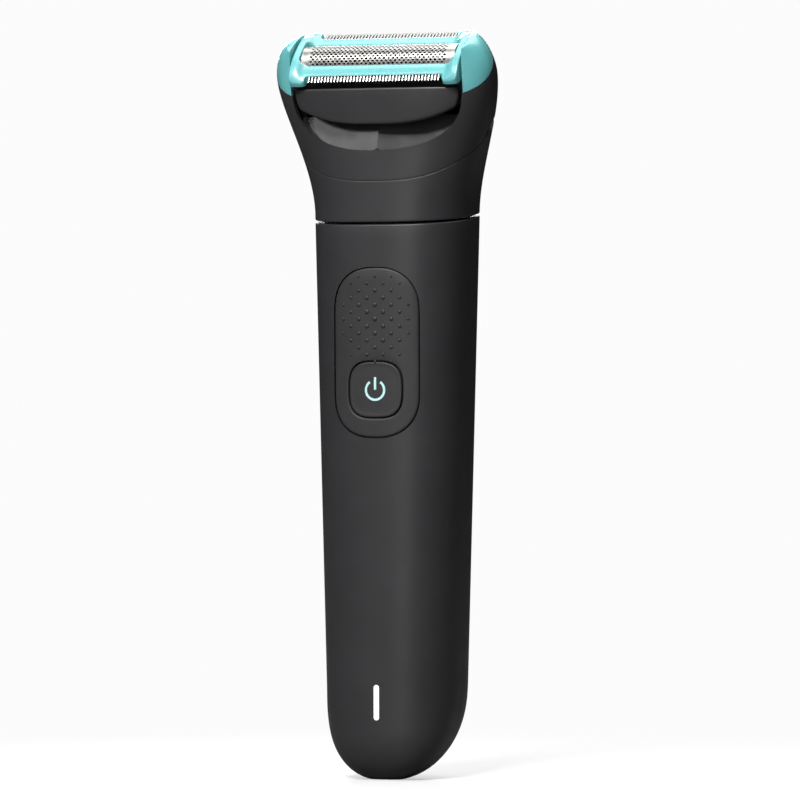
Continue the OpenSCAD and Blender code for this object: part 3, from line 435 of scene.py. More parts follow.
RIB_PITCH, RIB_HEIGHT, RIB_POWER, RIB_FADE = 1.66, 0.62, 0.6, 6
RIB_HALF_W, RIB_HALF_H = 12.4, 32.5
RIB_LEVELS, RIB_COLUMNS = 360, 40
RIB_ROOT, GRIP_BACK = 0.25, 0.95


def handle_shell():
    foot = [sloping_ring(FOOT_TOP * (k / 26) ** 2, 0) for k in range(26)]
    cavity = [sloping_ring(z, 0, WALL) for z in CAVITY_Z]
    straight_part = rings((FOOT_TOP, 0), (HANDLE_RIM[0] - RIM_RADIUS, HANDLE_RIM[1]), 40)
    inner = rings((FOOT_TOP, 0), (HANDLE_RIM[0] - 0.3, HANDLE_RIM[1]), 4, WALL)[::-1]
    shell = loft("handle_shell", foot + straight_part + lip(HANDLE_RIM, RIM_RADIUS, 1) + inner + cavity)
    panel = long_outline(PANEL_HALF_W + PANEL_GAP, PANEL_HALF_H + PANEL_GAP)
    boolean(shell, pad("recess", panel, PANEL_Z, front_surface, CLEAR, PANEL_RECESS))
    grip = long_outline(GRIP_HALF_W + GRIP_GAP, GRIP_HALF_H + GRIP_GAP)
    boolean(shell, pad("recess", grip, GRIP_Z, back_surface, CLEAR, GRIP_RECESS))
    hole = squircle(BUTTON_HALF + BUTTON_GAP, BUTTON_HALF + BUTTON_GAP, BUTTON_POWER) + [0, BUTTON_Z]
    boolean(shell, front_prism("hole", hole, -25, -5))
    slot = long_outline(LENS_HALF_W + LENS_GAP, LENS_HALF_H + LENS_GAP, LENS_POWER) + [0, LENS_Z]
    boolean(shell, front_prism("slot", slot, -20, -10))
    return boolean(shell, oval_solid("socket_hole", SOCKET_OPENING, *SOCKET_Z))


def oval_solid(name, opening, z0, z1):
    half_x, half_y, y_mid = opening
    t = np.arange(64) * 2 * math.pi / 64
    x = half_y * np.cos(t) + np.sign(np.cos(t)) * (half_x - half_y)
    return loft(name, [columns(x, half_y * np.sin(t) + y_mid, np.full(64, z)) for z in (z0, z1)])


def dot(x, z, radius):
    """A low dome on the thumb panel, closed below the surface."""
    loops = []
    for share, lift in DOT_FORM:
        ring = squircle(radius * share, radius * share, 2, 12) + [x, z]
        y = front_surface(ring[:, 0], ring[:, 1], 0) - lift
        loops.append(columns(ring[:, 0], y, ring[:, 1]))
    return loft("dot", loops, sharp=60)


def thumb_panel():
    """The panel round the button, with staggered dots that shrink away from their field's middle."""
    outline = long_outline(PANEL_HALF_W, PANEL_HALF_H)
    hole = around(outline, np.array([0, BUTTON_Z - PANEL_Z]), BUTTON_HALF + BUTTON_SEAM, BUTTON_POWER)
    plate = framed_pad("thumb_panel", outline, hole, PANEL_Z, front_surface, ROUND_EDGE, PANEL_BACK)
    dots = []
    for row in range(DOT_ROWS):
        z = DOT_LOW + row * DOT_PITCH_Z / 2
        for column in DOT_COLUMNS:
            x = column * DOT_PITCH_X
            size = 1 - ((x / DOT_HALF_W) ** 2 + ((z - DOT_MID) / DOT_HALF_H) ** 2)
            if (row + column) % 2 == 0 and size > DOT_SMALLEST:
                dots.append(dot(x, z, DOT_RADIUS * (DOT_EDGE_SHARE + (1 - DOT_EDGE_SHARE) * size)))
    return join([plate] + dots, "thumb_panel")


def button_cap():
    outline = squircle(BUTTON_HALF, BUTTON_HALF, BUTTON_POWER)
    return pad("button_cap", outline, BUTTON_Z, front_surface, BUTTON_EDGE, BUTTON_BACK)


def stroke(name, path, half_w, proud):
    """A flat raised line along a path of (X, Z) points on the button."""
    path = np.asarray(path, float)
    tangent = np.gradient(path, axis=0)
    tangent /= np.linalg.norm(tangent, axis=1, keepdims=True)
    normal = columns(-tangent[:, 1], tangent[:, 0])
    loops = []
    for point, away in zip(path, normal):
        loop = []
        for side, lift in ((-1, SYMBOL_ROOT), (-1, proud), (1, proud), (1, SYMBOL_ROOT)):
            x, z = point + away * side * half_w
            loop.append((x, float(front_surface(x, z, 0)) - lift, z))
        loops.append(np.array(loop))
    return loft(name, loops)


def button_symbol():
    t = np.radians(np.linspace(90 + SYMBOL_GAP, 450 - SYMBOL_GAP, 60))
    ring = columns(SYMBOL_R * np.cos(t), SYMBOL_R * np.sin(t) + SYMBOL_Z)
    bar = columns(np.zeros(8), np.linspace(SYMBOL_BAR[0], SYMBOL_BAR[1], 8) + SYMBOL_Z)
    parts = [stroke("symbol", path, SYMBOL_STROKE / 2, SYMBOL_PROUD) for path in (ring, bar)]
    return join(parts, "button_symbol")


def light_bar():
    outline = long_outline(LENS_HALF_W, LENS_HALF_H, LENS_POWER, corner=10)
    return pad("light_bar", outline, LENS_Z, front_surface, LENS_EDGE, LENS_BACK, steps=5)


def grip_pad():
    """The ribbed rubber on the back: a fine grid cut to the grip's outline."""
    loops = []
    for k in range(RIB_LEVELS + 1):
        above = 2 * RIB_HALF_H * k / RIB_LEVELS
        x = RIB_HALF_W * (1 - 2 * np.arange(RIB_COLUMNS + 1) / RIB_COLUMNS)
        z = np.full(RIB_COLUMNS + 1, GRIP_Z - RIB_HALF_H + above)
        wave = abs(math.sin(math.pi * above / RIB_PITCH)) ** RIB_POWER
        fade = 1 - (np.abs(x) / RIB_HALF_W) ** RIB_FADE
        outer = back_surface(x, z, RIB_ROOT) + RIB_HEIGHT * wave * fade
        inner = back_surface(x, z, GRIP_BACK)
        loops.append(np.concatenate([columns(x, outer, z), columns(x, inner, z)[::-1]]))
    grip = loft("grip_pad", loops, sharp=50)
    outline = long_outline(GRIP_HALF_W, GRIP_HALF_H) + [0, GRIP_Z]
    return boolean(grip, front_prism("outline", outline, 5, 25), "INTERSECT", 50)


# --- Neck and head shells -----------------
HEAD_WALL = 1.5
RIM_Z, RIM_HALF_W, RIM_DROP = 160.0, 20.9, 13.8
REAR_WALL_V, OPENING_HALF_X = -4.8, 20.95
SCOOP_POWER, SCOOP_Y = 2.4, (-25, -8.5)
NOTCH_X, NOTCH_Y, NOTCH_Z, NOTCH_SLOPE = 10.0, -3.8, 155.1, math.tan(math.radians(47))
NOTCH_FOOT = 140        # below the head
CHEEK_LOW = -5.0
VOID_TOP = (170.9, HEAD_SLOPE)          # just above the lower edge of the head's opening
LEAF_GAP = 0.05         # half the seam between shell and end caps
FAR_OUT, FAR_UP = 40, 30                # beyond the head, sideways or back, and out of its plane


def neck_skin():
    """A hollow shell between two sloping planes, with rounded rims."""
    ends = (NECK_RIM[0] + RIM_RADIUS, NECK_RIM[1]), (NECK_TOP[0] - SEAM_RADIUS, NECK_TOP[1])
    bottom, top = lip(NECK_RIM, RIM_RADIUS, -1)[::-1], lip(NECK_TOP, SEAM_RADIUS, 1)
    outer, inner = rings(*ends, 26), rings(*ends, 26, HEAD_WALL)
    return loft("neck_skin", bottom[:-1] + outer + top[1:] + inner[::-1], closed=True)


def head_form(name, count=60):
    """The solid outer form of the head, with its ends domed."""
    rim = lip(HEAD_FOOT, SEAM_RADIUS, -1)[::-1]
    body = rings((HEAD_FOOT[0] + SEAM_RADIUS, HEAD_SLOPE), FORM_TOP, count)
    return loft(name, [domed(ring) for ring in rim[:-1] + body])


def above_line(name, outline, x0, x1):
    """A solid along X above an open line of (Y, Z) points."""
    closed = list(outline) + [(outline[-1][0], 200.0), (outline[0][0], 200.0)]
    return loft(name, [np.array([(x, y, z) for y, z in closed]) for x in (x0, x1)])


def leaf_line(gap):
    y = np.linspace(-24, 1, 60)
    return columns(y, leaf_z(y) + gap)


def profile_prism(name, x0, x1, above):
    """A solid along X above or below the upper line of the end caps."""
    u = np.linspace(-14, 14, 90)
    line = columns(u, cap_top(u))
    far = FAR_UP if above else -FAR_UP
    return head_prism(name, np.concatenate([line, [(14, far), (-14, far)]]), x0, x1)


def scoop_outline():
    """X and Z of the scoop in the head's front: a squarish bowl, open upwards."""
    t = np.radians(np.linspace(180, 360, 61))
    x = RIM_HALF_W * np.sign(np.cos(t)) * np.abs(np.cos(t)) ** (2 / SCOOP_POWER)
    z = RIM_Z - RIM_DROP * np.abs(np.sin(t)) ** (2 / SCOOP_POWER)
    return np.concatenate([columns(x, z), [(RIM_HALF_W, RIM_Z + 20), (-RIM_HALF_W, RIM_Z + 20)]])


def notch(side):
    """The wedge that leaves a finger notch in one side of the head's foot."""
    profile = [(NOTCH_Y, NOTCH_FOOT), (FAR_OUT, NOTCH_FOOT), (FAR_OUT, NOTCH_Z + FAR_OUT * NOTCH_SLOPE),
               (NOTCH_Y, NOTCH_Z + NOTCH_Y * NOTCH_SLOPE)]
    return loft("notch", [np.array([(side * x, y, z) for y, z in profile]) for x in (NOTCH_X, FAR_OUT)])


def head_skin():
    shell = head_form("head_skin")
    hollow = rings((HEAD_FOOT[0] - 1, HEAD_SLOPE), VOID_TOP, 24, HEAD_WALL)
    void = loft("void", [domed(ring) for ring in hollow])
    for side in (-1, 1):
        x0, x1 = sorted((side * CAP_INNER_X, side * FAR_OUT))
        boolean(void, head_box("cheek", (x0, -16, CHEEK_LOW), (x1, 16, FAR_UP)))
    boolean(shell, void)
    boolean(shell, front_prism("scoop", scoop_outline(), *SCOOP_Y))
    boolean(shell, head_box("opening", (-OPENING_HALF_X, -20, REAR_WALL_V), (OPENING_HALF_X, 20, FAR_UP)))
    for side in (-1, 1):
        x0, x1 = side * (OPENING_HALF_X - 0.1), side * FAR_OUT
        boolean(shell, profile_prism("above_ends", x0, x1, True))
        boolean(shell, above_line("caps", leaf_line(-LEAF_GAP), x0, x1))
        boolean(shell, notch(side))
    return shell


CHIN_ANGLE, CHIN_LEAN = math.radians(8), math.radians(12.7)
CHIN_HALF_X, CHIN_T, CHIN_GAP = 20.0, 1.1, 0.25
CHIN_FOOT, CHIN_ALONG = (-14.1, 146.2), (-1.5, 9.0)     # (Y, Z) of its crease, and how far it runs up it
CHIN_INSIDE = (0.4, 22) # part of the head that holds it, above the head's foot


def chin_skin():
    """The creased plate inside the scoop, cut to the inside of the head."""
    edge = CHIN_HALF_X * math.tan(CHIN_ANGLE)
    profile = [(0, 0), (CHIN_HALF_X, edge), (CHIN_HALF_X, edge + CHIN_T), (0, CHIN_T),
               (-CHIN_HALF_X, edge + CHIN_T), (-CHIN_HALF_X, edge)]
    loops = []
    for along in CHIN_ALONG:
        loops.append(np.array([(x, CHIN_FOOT[0] + y * math.cos(CHIN_LEAN) + along * math.sin(CHIN_LEAN),
                                CHIN_FOOT[1] - y * math.sin(CHIN_LEAN) + along * math.cos(CHIN_LEAN))
                               for x, y in profile]))
    plate = loft("chin_skin", loops, sharp=6)
    low, high = [HEAD_FOOT[0] + rise for rise in CHIN_INSIDE]
    inside = loft("inside", rings((low, HEAD_SLOPE), (high, HEAD_SLOPE), 12, HEAD_WALL + CHIN_GAP))
    return boolean(plate, inside, "INTERSECT", 6)


# --- Shaving unit -------------------------
APRON_TOP, APRON_BOTTOM, APRON_RISE = 160.6, 152.2, 3.7
APRON_HALF_X, APRON_TOP_HALF_X, APRON_SIDE = 19.4, 20.2, 2
APRON_BEND_X, APRON_POWER, APRON_BACK = 19, 2.8, 1.25
APRON_EDGE = [(0.45, 0.15), (0.22, 0.2), (0.06, 0.34), (0, 0.55)]


def apron_skin():
    x = np.linspace(-APRON_HALF_X, APRON_HALF_X, 41)
    lower = columns(x, APRON_BOTTOM + APRON_RISE * (np.abs(x) / APRON_BEND_X) ** APRON_POWER)
    upper = [(APRON_TOP_HALF_X, APRON_TOP - APRON_SIDE), (APRON_TOP_HALF_X, APRON_TOP),
             (-APRON_TOP_HALF_X, APRON_TOP), (-APRON_TOP_HALF_X, APRON_TOP - APRON_SIDE)]
    z_mid = (APRON_TOP + APRON_BOTTOM) / 2 + 1
    outline = soft_corners(np.concatenate([lower, upper]) - [0, z_mid])
    return pad("apron_skin", outline, z_mid, front_surface, APRON_EDGE, APRON_BACK)


UNIT_HALF_X, WINDOW_HALF_X, WINDOW_HALF_U = 20.8, 19.1, 3.9
WINDOW_CORNER = 1.1
BAR_OUTER_U, EAR_HALF_X, EAR_LOW = 7.15, 16.9, -1.85
FRONT_EAR_U, REAR_EAR_U, EAR_STEPS, EAR_POWER = 9.0, 9.8, 13, 3.5
GUARD_TOP, GUARD_T, GUARD_BEND_U = 0.6, 0.4, 7.0
EAR_FOOT = ([6.2, 9.0], [EAR_LOW, -1.0])
EAR_BLEND = 0.6         # width over which the bars turn into the side walls
SURROUND_ROUND = 0.3

# Tops of the surround: distances from the unit's middle, and heights over the head's plane.
BAR_TOP = ([3.9, 5.4, 6.6, 7.05, 7.2], [1.3, 1.25, 0.98, 0.8, 0.66])
FRONT_EAR_TOP = ([3.9, 5.4, 7.2, 8.3, 8.9, 9.0], [1.3, 1.25, 0.85, 0.4, -0.1, -0.4])
REAR_EAR_TOP = ([3.9, 7.4, 8.8, 9.5, 9.8], [1.3, 1.28, 1.1, 0.7, 0.2])
ARCH_LOW, ARCH_HEIGHT, ARCH_HALF_U, ARCH_POWER = -4, 7.05, 10, 2.6
ARCH_X, ARCH_BLEND = 17.2, 2.2          # where the arched end starts, and the width over which it rises


def ear(tip):
    """The rounded end of the surround's side wall, from its outer to its inner edge."""
    t = np.linspace(0, math.pi, EAR_STEPS)
    middle, half = (UNIT_HALF_X + EAR_HALF_X) / 2, (UNIT_HALF_X - EAR_HALF_X) / 2
    base = BAR_OUTER_U + 0.15
    x = middle + half * np.sign(np.cos(t)) * np.abs(np.cos(t)) ** (2 / EAR_POWER)
    u = base + (tip - base) * np.sin(t) ** (2 / EAR_POWER)
    return columns(x, u)


def all_round(rear, front):
    """A closed outline from its quarters behind and before the unit's middle, both at positive X."""
    back = np.concatenate([rear, (rear * [-1, 1])[-2::-1]])
    fore = np.concatenate([front, (front * [-1, 1])[-2::-1]]) * [1, -1]
    return np.concatenate([back, fore[-2:0:-1]])


def frame_outlines():
    """Outer and window outlines of the foil surround, with matching points."""
    end = np.linspace(0, 1, 12)[:-1]
    along = np.linspace(1, 0, 30)[1:]
    turn = np.linspace(0, math.pi / 2, EAR_STEPS)
    outer_end = columns(np.full(len(end), UNIT_HALF_X), (BAR_OUTER_U + 0.15) * end)
    inner_end = columns(np.full(len(end), WINDOW_HALF_X), (WINDOW_HALF_U - WINDOW_CORNER) * end)
    corner = columns(WINDOW_HALF_X - WINDOW_CORNER + WINDOW_CORNER * np.cos(turn),
                     WINDOW_HALF_U - WINDOW_CORNER + WINDOW_CORNER * np.sin(turn))
    outer_bar = columns((EAR_HALF_X - 0.1) * along, np.full(len(along), BAR_OUTER_U))
    inner_bar = columns((WINDOW_HALF_X - WINDOW_CORNER) * along, np.full(len(along), WINDOW_HALF_U))
    window = np.concatenate([inner_end, corner, inner_bar])
    rear, front = [np.concatenate([outer_end, ear(tip), outer_bar]) for tip in (REAR_EAR_U, FRONT_EAR_U)]
    return all_round(rear, front), all_round(window, window)


def surround_top(x, u):
    """Height of the teal surround over the head's plane: low bars that sweep up to arched ends."""
    a = np.abs(u)
    bar = np.interp(a, *BAR_TOP)
    side = np.where(u > 0, np.interp(a, *REAR_EAR_TOP), np.interp(a, *FRONT_EAR_TOP))
    low = bar + (side - bar) * smooth(np.abs(x) - EAR_HALF_X + EAR_BLEND)
    ratio = np.minimum(0.985, a / ARCH_HALF_U)
    arch = ARCH_LOW + ARCH_HEIGHT * (1 - ratio ** ARCH_POWER) ** (1 / ARCH_POWER)
    return low + (np.maximum(arch, low) - low) * smooth((np.abs(x) - ARCH_X) / ARCH_BLEND)


def surround_bottom(x, u):
    ends = np.interp(np.abs(u), *EAR_FOOT)
    return np.where(np.abs(x) < EAR_HALF_X - 0.05, GUARD_TOP + 0.02, ends)


def foil_surround():
    outer, window = frame_outlines()

    def loop(points, drop, share):
        x, u = points[:, 0], points[:, 1]
        top, bottom = surround_top(x, u), surround_bottom(x, u)
        fall = np.minimum(drop, (top - bottom) * 0.8)
        return head_points(columns(x, u, (top - fall) * (1 - share) + bottom * share))

    r = SURROUND_ROUND
    turned = [(r * (1 - math.sin(a)), r * (1 - math.cos(a))) for a in np.radians((30, 60, 90))]
    spread = np.linspace(0, 1, 9)
    face_outer, face_inner = inset_outline(outer, r), inset_outline(window, -r)
    loops = [loop(face_inner + (face_outer - face_inner) * f, 0, 0) for f in spread]
    loops += [loop(inset_outline(outer, inset), drop, 0) for inset, drop in turned]
    loops += [loop(outer + (window - outer) * f, 0, 1) for f in spread]
    loops += [loop(inset_outline(window, -inset), drop, 0) for inset, drop in turned[::-1]]
    return loft("foil_surround", loops, closed=True, sharp=50)


FOIL_R, FOIL_V, FOIL_T, FOIL_LEG = 4.4, -1.5, 0.12, 1.9
HOLE_PITCH_X, HOLE_ROWS, HOLE_COLUMNS = 1.1, 16, 31
HOLE_RX, HOLE_RA = 0.36, 0.262      # half sizes of a hole along the foil and round it
FOIL_HALF_X, FOIL_ARC = 18.9, math.radians(124)
ROW_HEIGHT = FOIL_R * (FOIL_ARC / HOLE_ROWS)


class Welded:
    """An open surface in the head's axes whose faces share their corners."""

    def __init__(self, place):
        self.bm, self.known, self.place = bmesh.new(), {}, place

    def corner(self, a, b):
        key = (round(a, 4), round(b, 4))
        if key not in self.known:
            self.known[key] = self.bm.verts.new(head_points([self.place(a, b)])[0] * MM)
        return self.known[key]

    def face(self, *corners):
        self.bm.faces.new([self.corner(a, b) for a, b in corners])

    def strip(self, x0, x1, *levels):
        """Faces between two edges, from level to level."""
        for low, high in zip(levels, levels[1:]):
            self.face((x0, low), (x1, low), (x1, high), (x0, high))


def foil_point(x, arc):
    """The place on the foil at a distance round it from its crown."""
    angle, quarter = arc / FOIL_R, math.pi / 2
    if abs(angle) <= quarter:
        return x, FOIL_R * math.sin(angle), FOIL_V + FOIL_R * math.cos(angle)
    return x, math.copysign(FOIL_R, angle), FOIL_V - (abs(angle) - quarter) * FOIL_R


def foil_cell(surface, x0, a0, a1):
    """The faces between the border of a cell of the foil and its hole."""
    x1, cx, ca = x0 + HOLE_PITCH_X, x0 + HOLE_PITCH_X / 2, (a0 + a1) / 2
    border = [(x0, a0), (cx, a0), (x1, a0), (x1, ca), (x1, a1), (cx, a1), (x0, a1), (x0, ca)]
    hole = []
    for x, a in border:
        angle = math.atan2((a - ca) * HOLE_PITCH_X, (x - cx) * ROW_HEIGHT)
        hole.append(surface.corner(cx + HOLE_RX * math.cos(angle), ca + HOLE_RA * math.sin(angle)))
    ring = [surface.corner(x, a) for x, a in border]
    for k in range(8):
        j = (k + 1) % 8
        surface.bm.faces.new([ring[k], ring[j], hole[j], hole[k]])


def foil_sheet():
    """A thin curved sheet with staggered holes, plain strips at its ends and legs below the bars."""
    surface = Welded(foil_point)
    half = HOLE_COLUMNS * HOLE_PITCH_X / 2
    arc_low = -HOLE_ROWS * ROW_HEIGHT / 2
    for row in range(HOLE_ROWS):
        a0, a1 = arc_low + row * ROW_HEIGHT, arc_low + (row + 1) * ROW_HEIGHT
        shift = HOLE_PITCH_X / 2 if row % 2 else 0
        for column in range(HOLE_COLUMNS - row % 2):
            foil_cell(surface, -half + shift + column * HOLE_PITCH_X, a0, a1)
        plain = [(-half, -half + shift), (half - shift, half)] if shift else []
        for x0, x1 in plain + [(-FOIL_HALF_X, -half), (half, FOIL_HALF_X)]:
            surface.strip(x0, x1, a0, (a0 + a1) / 2, a1)
    stations = sorted({round(-half + k * HOLE_PITCH_X / 2, 4) for k in range(2 * HOLE_COLUMNS + 1)}
                      | {-FOIL_HALF_X, FOIL_HALF_X})
    upright = FOIL_R * math.pi / 2
    for sign in (-1, 1):
        levels = [sign * a for a in (-arc_low, (upright - arc_low) / 2, upright, upright + FOIL_LEG)]
        for a0, a1 in zip(levels, levels[1:]):
            for x0, x1 in zip(stations, stations[1:]):
                surface.strip(x0, x1, a0, a1)
    return sheet(surface.bm, "foil_sheet", FOIL_T)


def sheet(bm, name, thickness, sharp=40):
    """Gives an open surface a thickness towards the inside of the head."""
    bmesh.ops.remove_doubles(bm, verts=bm.verts, dist=1e-7)
    bmesh.ops.recalc_face_normals(bm, faces=bm.faces)
    outward = head_points([(0, 0, 1)])[0] - HEAD_ORIGIN
    bm.normal_update()
    if sum(face.normal.dot(outward) * face.calc_area() for face in bm.faces) < 0:
        bmesh.ops.reverse_faces(bm, faces=bm.faces)
    mesh = bpy.data.meshes.new(name)
    bm.to_mesh(mesh)
    bm.free()
    obj = linked(name, mesh)
    modifier = obj.modifiers.new("thickness", "SOLIDIFY")
    modifier.thickness, modifier.offset = thickness * MM, -1
    apply_modifier(obj, modifier)
    soften(obj, sharp)
    return obj


TOOTH_PITCH, TOOTH_W, TOOTH_ROOT, COMB_HALF_X = 0.8, 0.44, 6.8, 16.6
COMB_BACK, COMB_MIDDLE = 4.7, 5.8
FRONT_TIP, FRONT_BEND = 8.6, math.tan(math.radians(24))
REAR_TIP, REAR_BEND = 9.6, math.tan(math.radians(7))


def comb(name, side, reach, slope):
    """A bent steel comb with round tooth tips. side is -1 in front of the foil and 1 behind it."""
    surface = Welded(lambda x, u: (x, side * u, GUARD_TOP - slope * max(0, u - GUARD_BEND_U)))
    half = TOOTH_W / 2
    count = int((COMB_HALF_X - half) / TOOTH_PITCH)
    middles = [k * TOOTH_PITCH for k in range(-count, count + 1)]
    edges = [-COMB_HALF_X] + [x + side_x for x in middles for side_x in (-half, half)] + [COMB_HALF_X]
    for u0, u1 in ((COMB_BACK, COMB_MIDDLE), (COMB_MIDDLE, TOOTH_ROOT)):
        for x0, x1 in zip(edges, edges[1:]):
            surface.strip(x0, x1, u0, u1)
    neck = [TOOTH_ROOT] + list(np.linspace(GUARD_BEND_U, reach - half, 4))
    tip = [(reach - half + half * math.sin(a), half * math.cos(a)) for a in np.radians((0, 35, 65, 85))]
    for x in middles:
        surface.strip(x - half, x + half, *neck)
        for (u0, w0), (u1, w1) in zip(tip, tip[1:]):
            surface.face((x - w0, u0), (x + w0, u0), (x + w1, u1), (x - w1, u1))
    return bevel(sheet(surface.bm, name, GUARD_T), 0.07, 2, 50, 45)


def end_cap(name, side):
    cap = head_form(name)
    inner, outer = side * CAP_INNER_X, side * 30
    boolean(cap, profile_prism("profile", inner, outer, False), "INTERSECT", 50)
    boolean(cap, above_line("leaf", leaf_line(LEAF_GAP), inner, outer), "INTERSECT", 50)
    return bevel(cap, 0.4, 3, 35, 50)


# --- Materials ----------------------------
class Shader:
    """A principled material with short ways to add procedural detail."""

    def __init__(self, name, colour, roughness, metallic=0.0):
        self.material = bpy.data.materials.new(name)
        self.material.use_nodes = True
        self.name = name
        self.tree = self.material.node_tree
        self.bsdf = self.tree.nodes["Principled BSDF"]
        self.colour = colour
        self.set("Base Color", (*colour, 1))
        self.set("Roughness", roughness)
        self.set("Metallic", metallic)

    def set(self, name, value):
        self.bsdf.inputs[name].default_value = value

    def node(self, kind, inputs=None, **settings):
        made = self.tree.nodes.new(kind)
        for key, value in settings.items():
            setattr(made, key, value)
        for key, value in (inputs or {}).items():
            made.inputs[key].default_value = value
        return made

    def link(self, source, target):
        self.tree.links.new(source, target)

    def place(self, size, stretch=(1, 1, 1)):
        """Coordinates in which one unit is size millimetres, stretched per axis."""
        where = self.node("ShaderNodeTexCoord")
        mapping = self.node("ShaderNodeMapping", {"Scale": [1 / (size * MM * s) for s in stretch]})
        self.link(where.outputs["Object"], mapping.inputs["Vector"])
        return mapping.outputs["Vector"]

    def noise(self, size, detail=3.0, stretch=(1, 1, 1)):
        made = self.node("ShaderNodeTexNoise", {"Scale": 1, "Detail": detail})
        self.link(self.place(size, stretch), made.inputs["Vector"])
        return made.outputs["Fac"]

    def bands(self, size, direction, distortion):
        made = self.node("ShaderNodeTexWave", {"Scale": 1, "Distortion": distortion},
                         bands_direction=direction)
        self.link(self.place(size), made.inputs["Vector"])
        return made.outputs["Fac"]

    def bump(self, height, depth, strength):
        """Raises the surface by up to depth millimetres."""
        made = self.node("ShaderNodeBump", {"Strength": strength, "Distance": depth * MM})
        self.link(height, made.inputs["Height"])
        self.link(made.outputs["Normal"], self.bsdf.inputs["Normal"])

    def ranged(self, value, source, target=(0, 1), **settings):
        """Maps the range source onto the range target."""
        limits = dict(zip(("From Min", "From Max", "To Min", "To Max"), (*source, *target)))
        made = self.node("ShaderNodeMapRange", limits, **settings)
        self.link(value, made.inputs["Value"])
        return made.outputs["Result"]

    def tint(self, factor, other, low=0.35, high=0.65):
        """Mixes the base colour with another where factor goes from low to high."""
        mix = self.node("ShaderNodeMix", {"A": (*self.colour, 1), "B": (*other, 1)}, data_type="RGBA")
        self.link(self.ranged(factor, (low, high)), mix.inputs["Factor"])
        self.link(mix.outputs["Result"], self.bsdf.inputs["Base Color"])


def finish(name, colour, roughness, metallic=0, grain=None, wear=None, cloud=None, settings=()):
    """A material with up to three kinds of noise, each given as (size in mm, detail, ...).

    grain (depth in mm, strength) raises the surface, wear (low, high) varies the roughness and
    cloud (factor) the colour. A last value of grain or cloud stretches the noise along the axes.
    """
    s = Shader(name, colour, roughness, metallic)
    for key, value in settings:
        s.set(key, value)
    if grain:
        size, detail, depth, strength, *stretch = grain
        s.bump(s.noise(size, detail, *stretch), depth, strength)
    if cloud:
        size, detail, factor, *stretch = cloud
        s.tint(s.noise(size, detail, *stretch), tuple(c * factor for c in colour))
    size, detail, low, high = wear
    s.link(s.ranged(s.noise(size, detail), (0.3, 0.7), (low, high)), s.bsdf.inputs["Roughness"])
    return s


def grey_nylon():
    """Glass-filled nylon: short pale fibres in a grey ground."""
    s = finish("grey_nylon", (0.07, 0.073, 0.08), 0.58, 0, (0.2, 3, 0.01, 0.6), (2, 3, 0.5, 0.66))
    s.tint(s.noise(0.12, 4, (1, 1, 7)), (0.11, 0.115, 0.125), 0.52, 0.7)
    return s


def board_green():
    """Solder mask with faint raised tracks."""
    s = finish("board_green", (0.02, 0.12, 0.06), 0.35, wear=(1, 2, 0.3, 0.4))
    tracks = s.bands(1.4, "X", 6)
    s.tint(tracks, (0.03, 0.19, 0.09), 0.4, 0.5)
    s.bump(tracks, 0.02, 0.5)
    return s


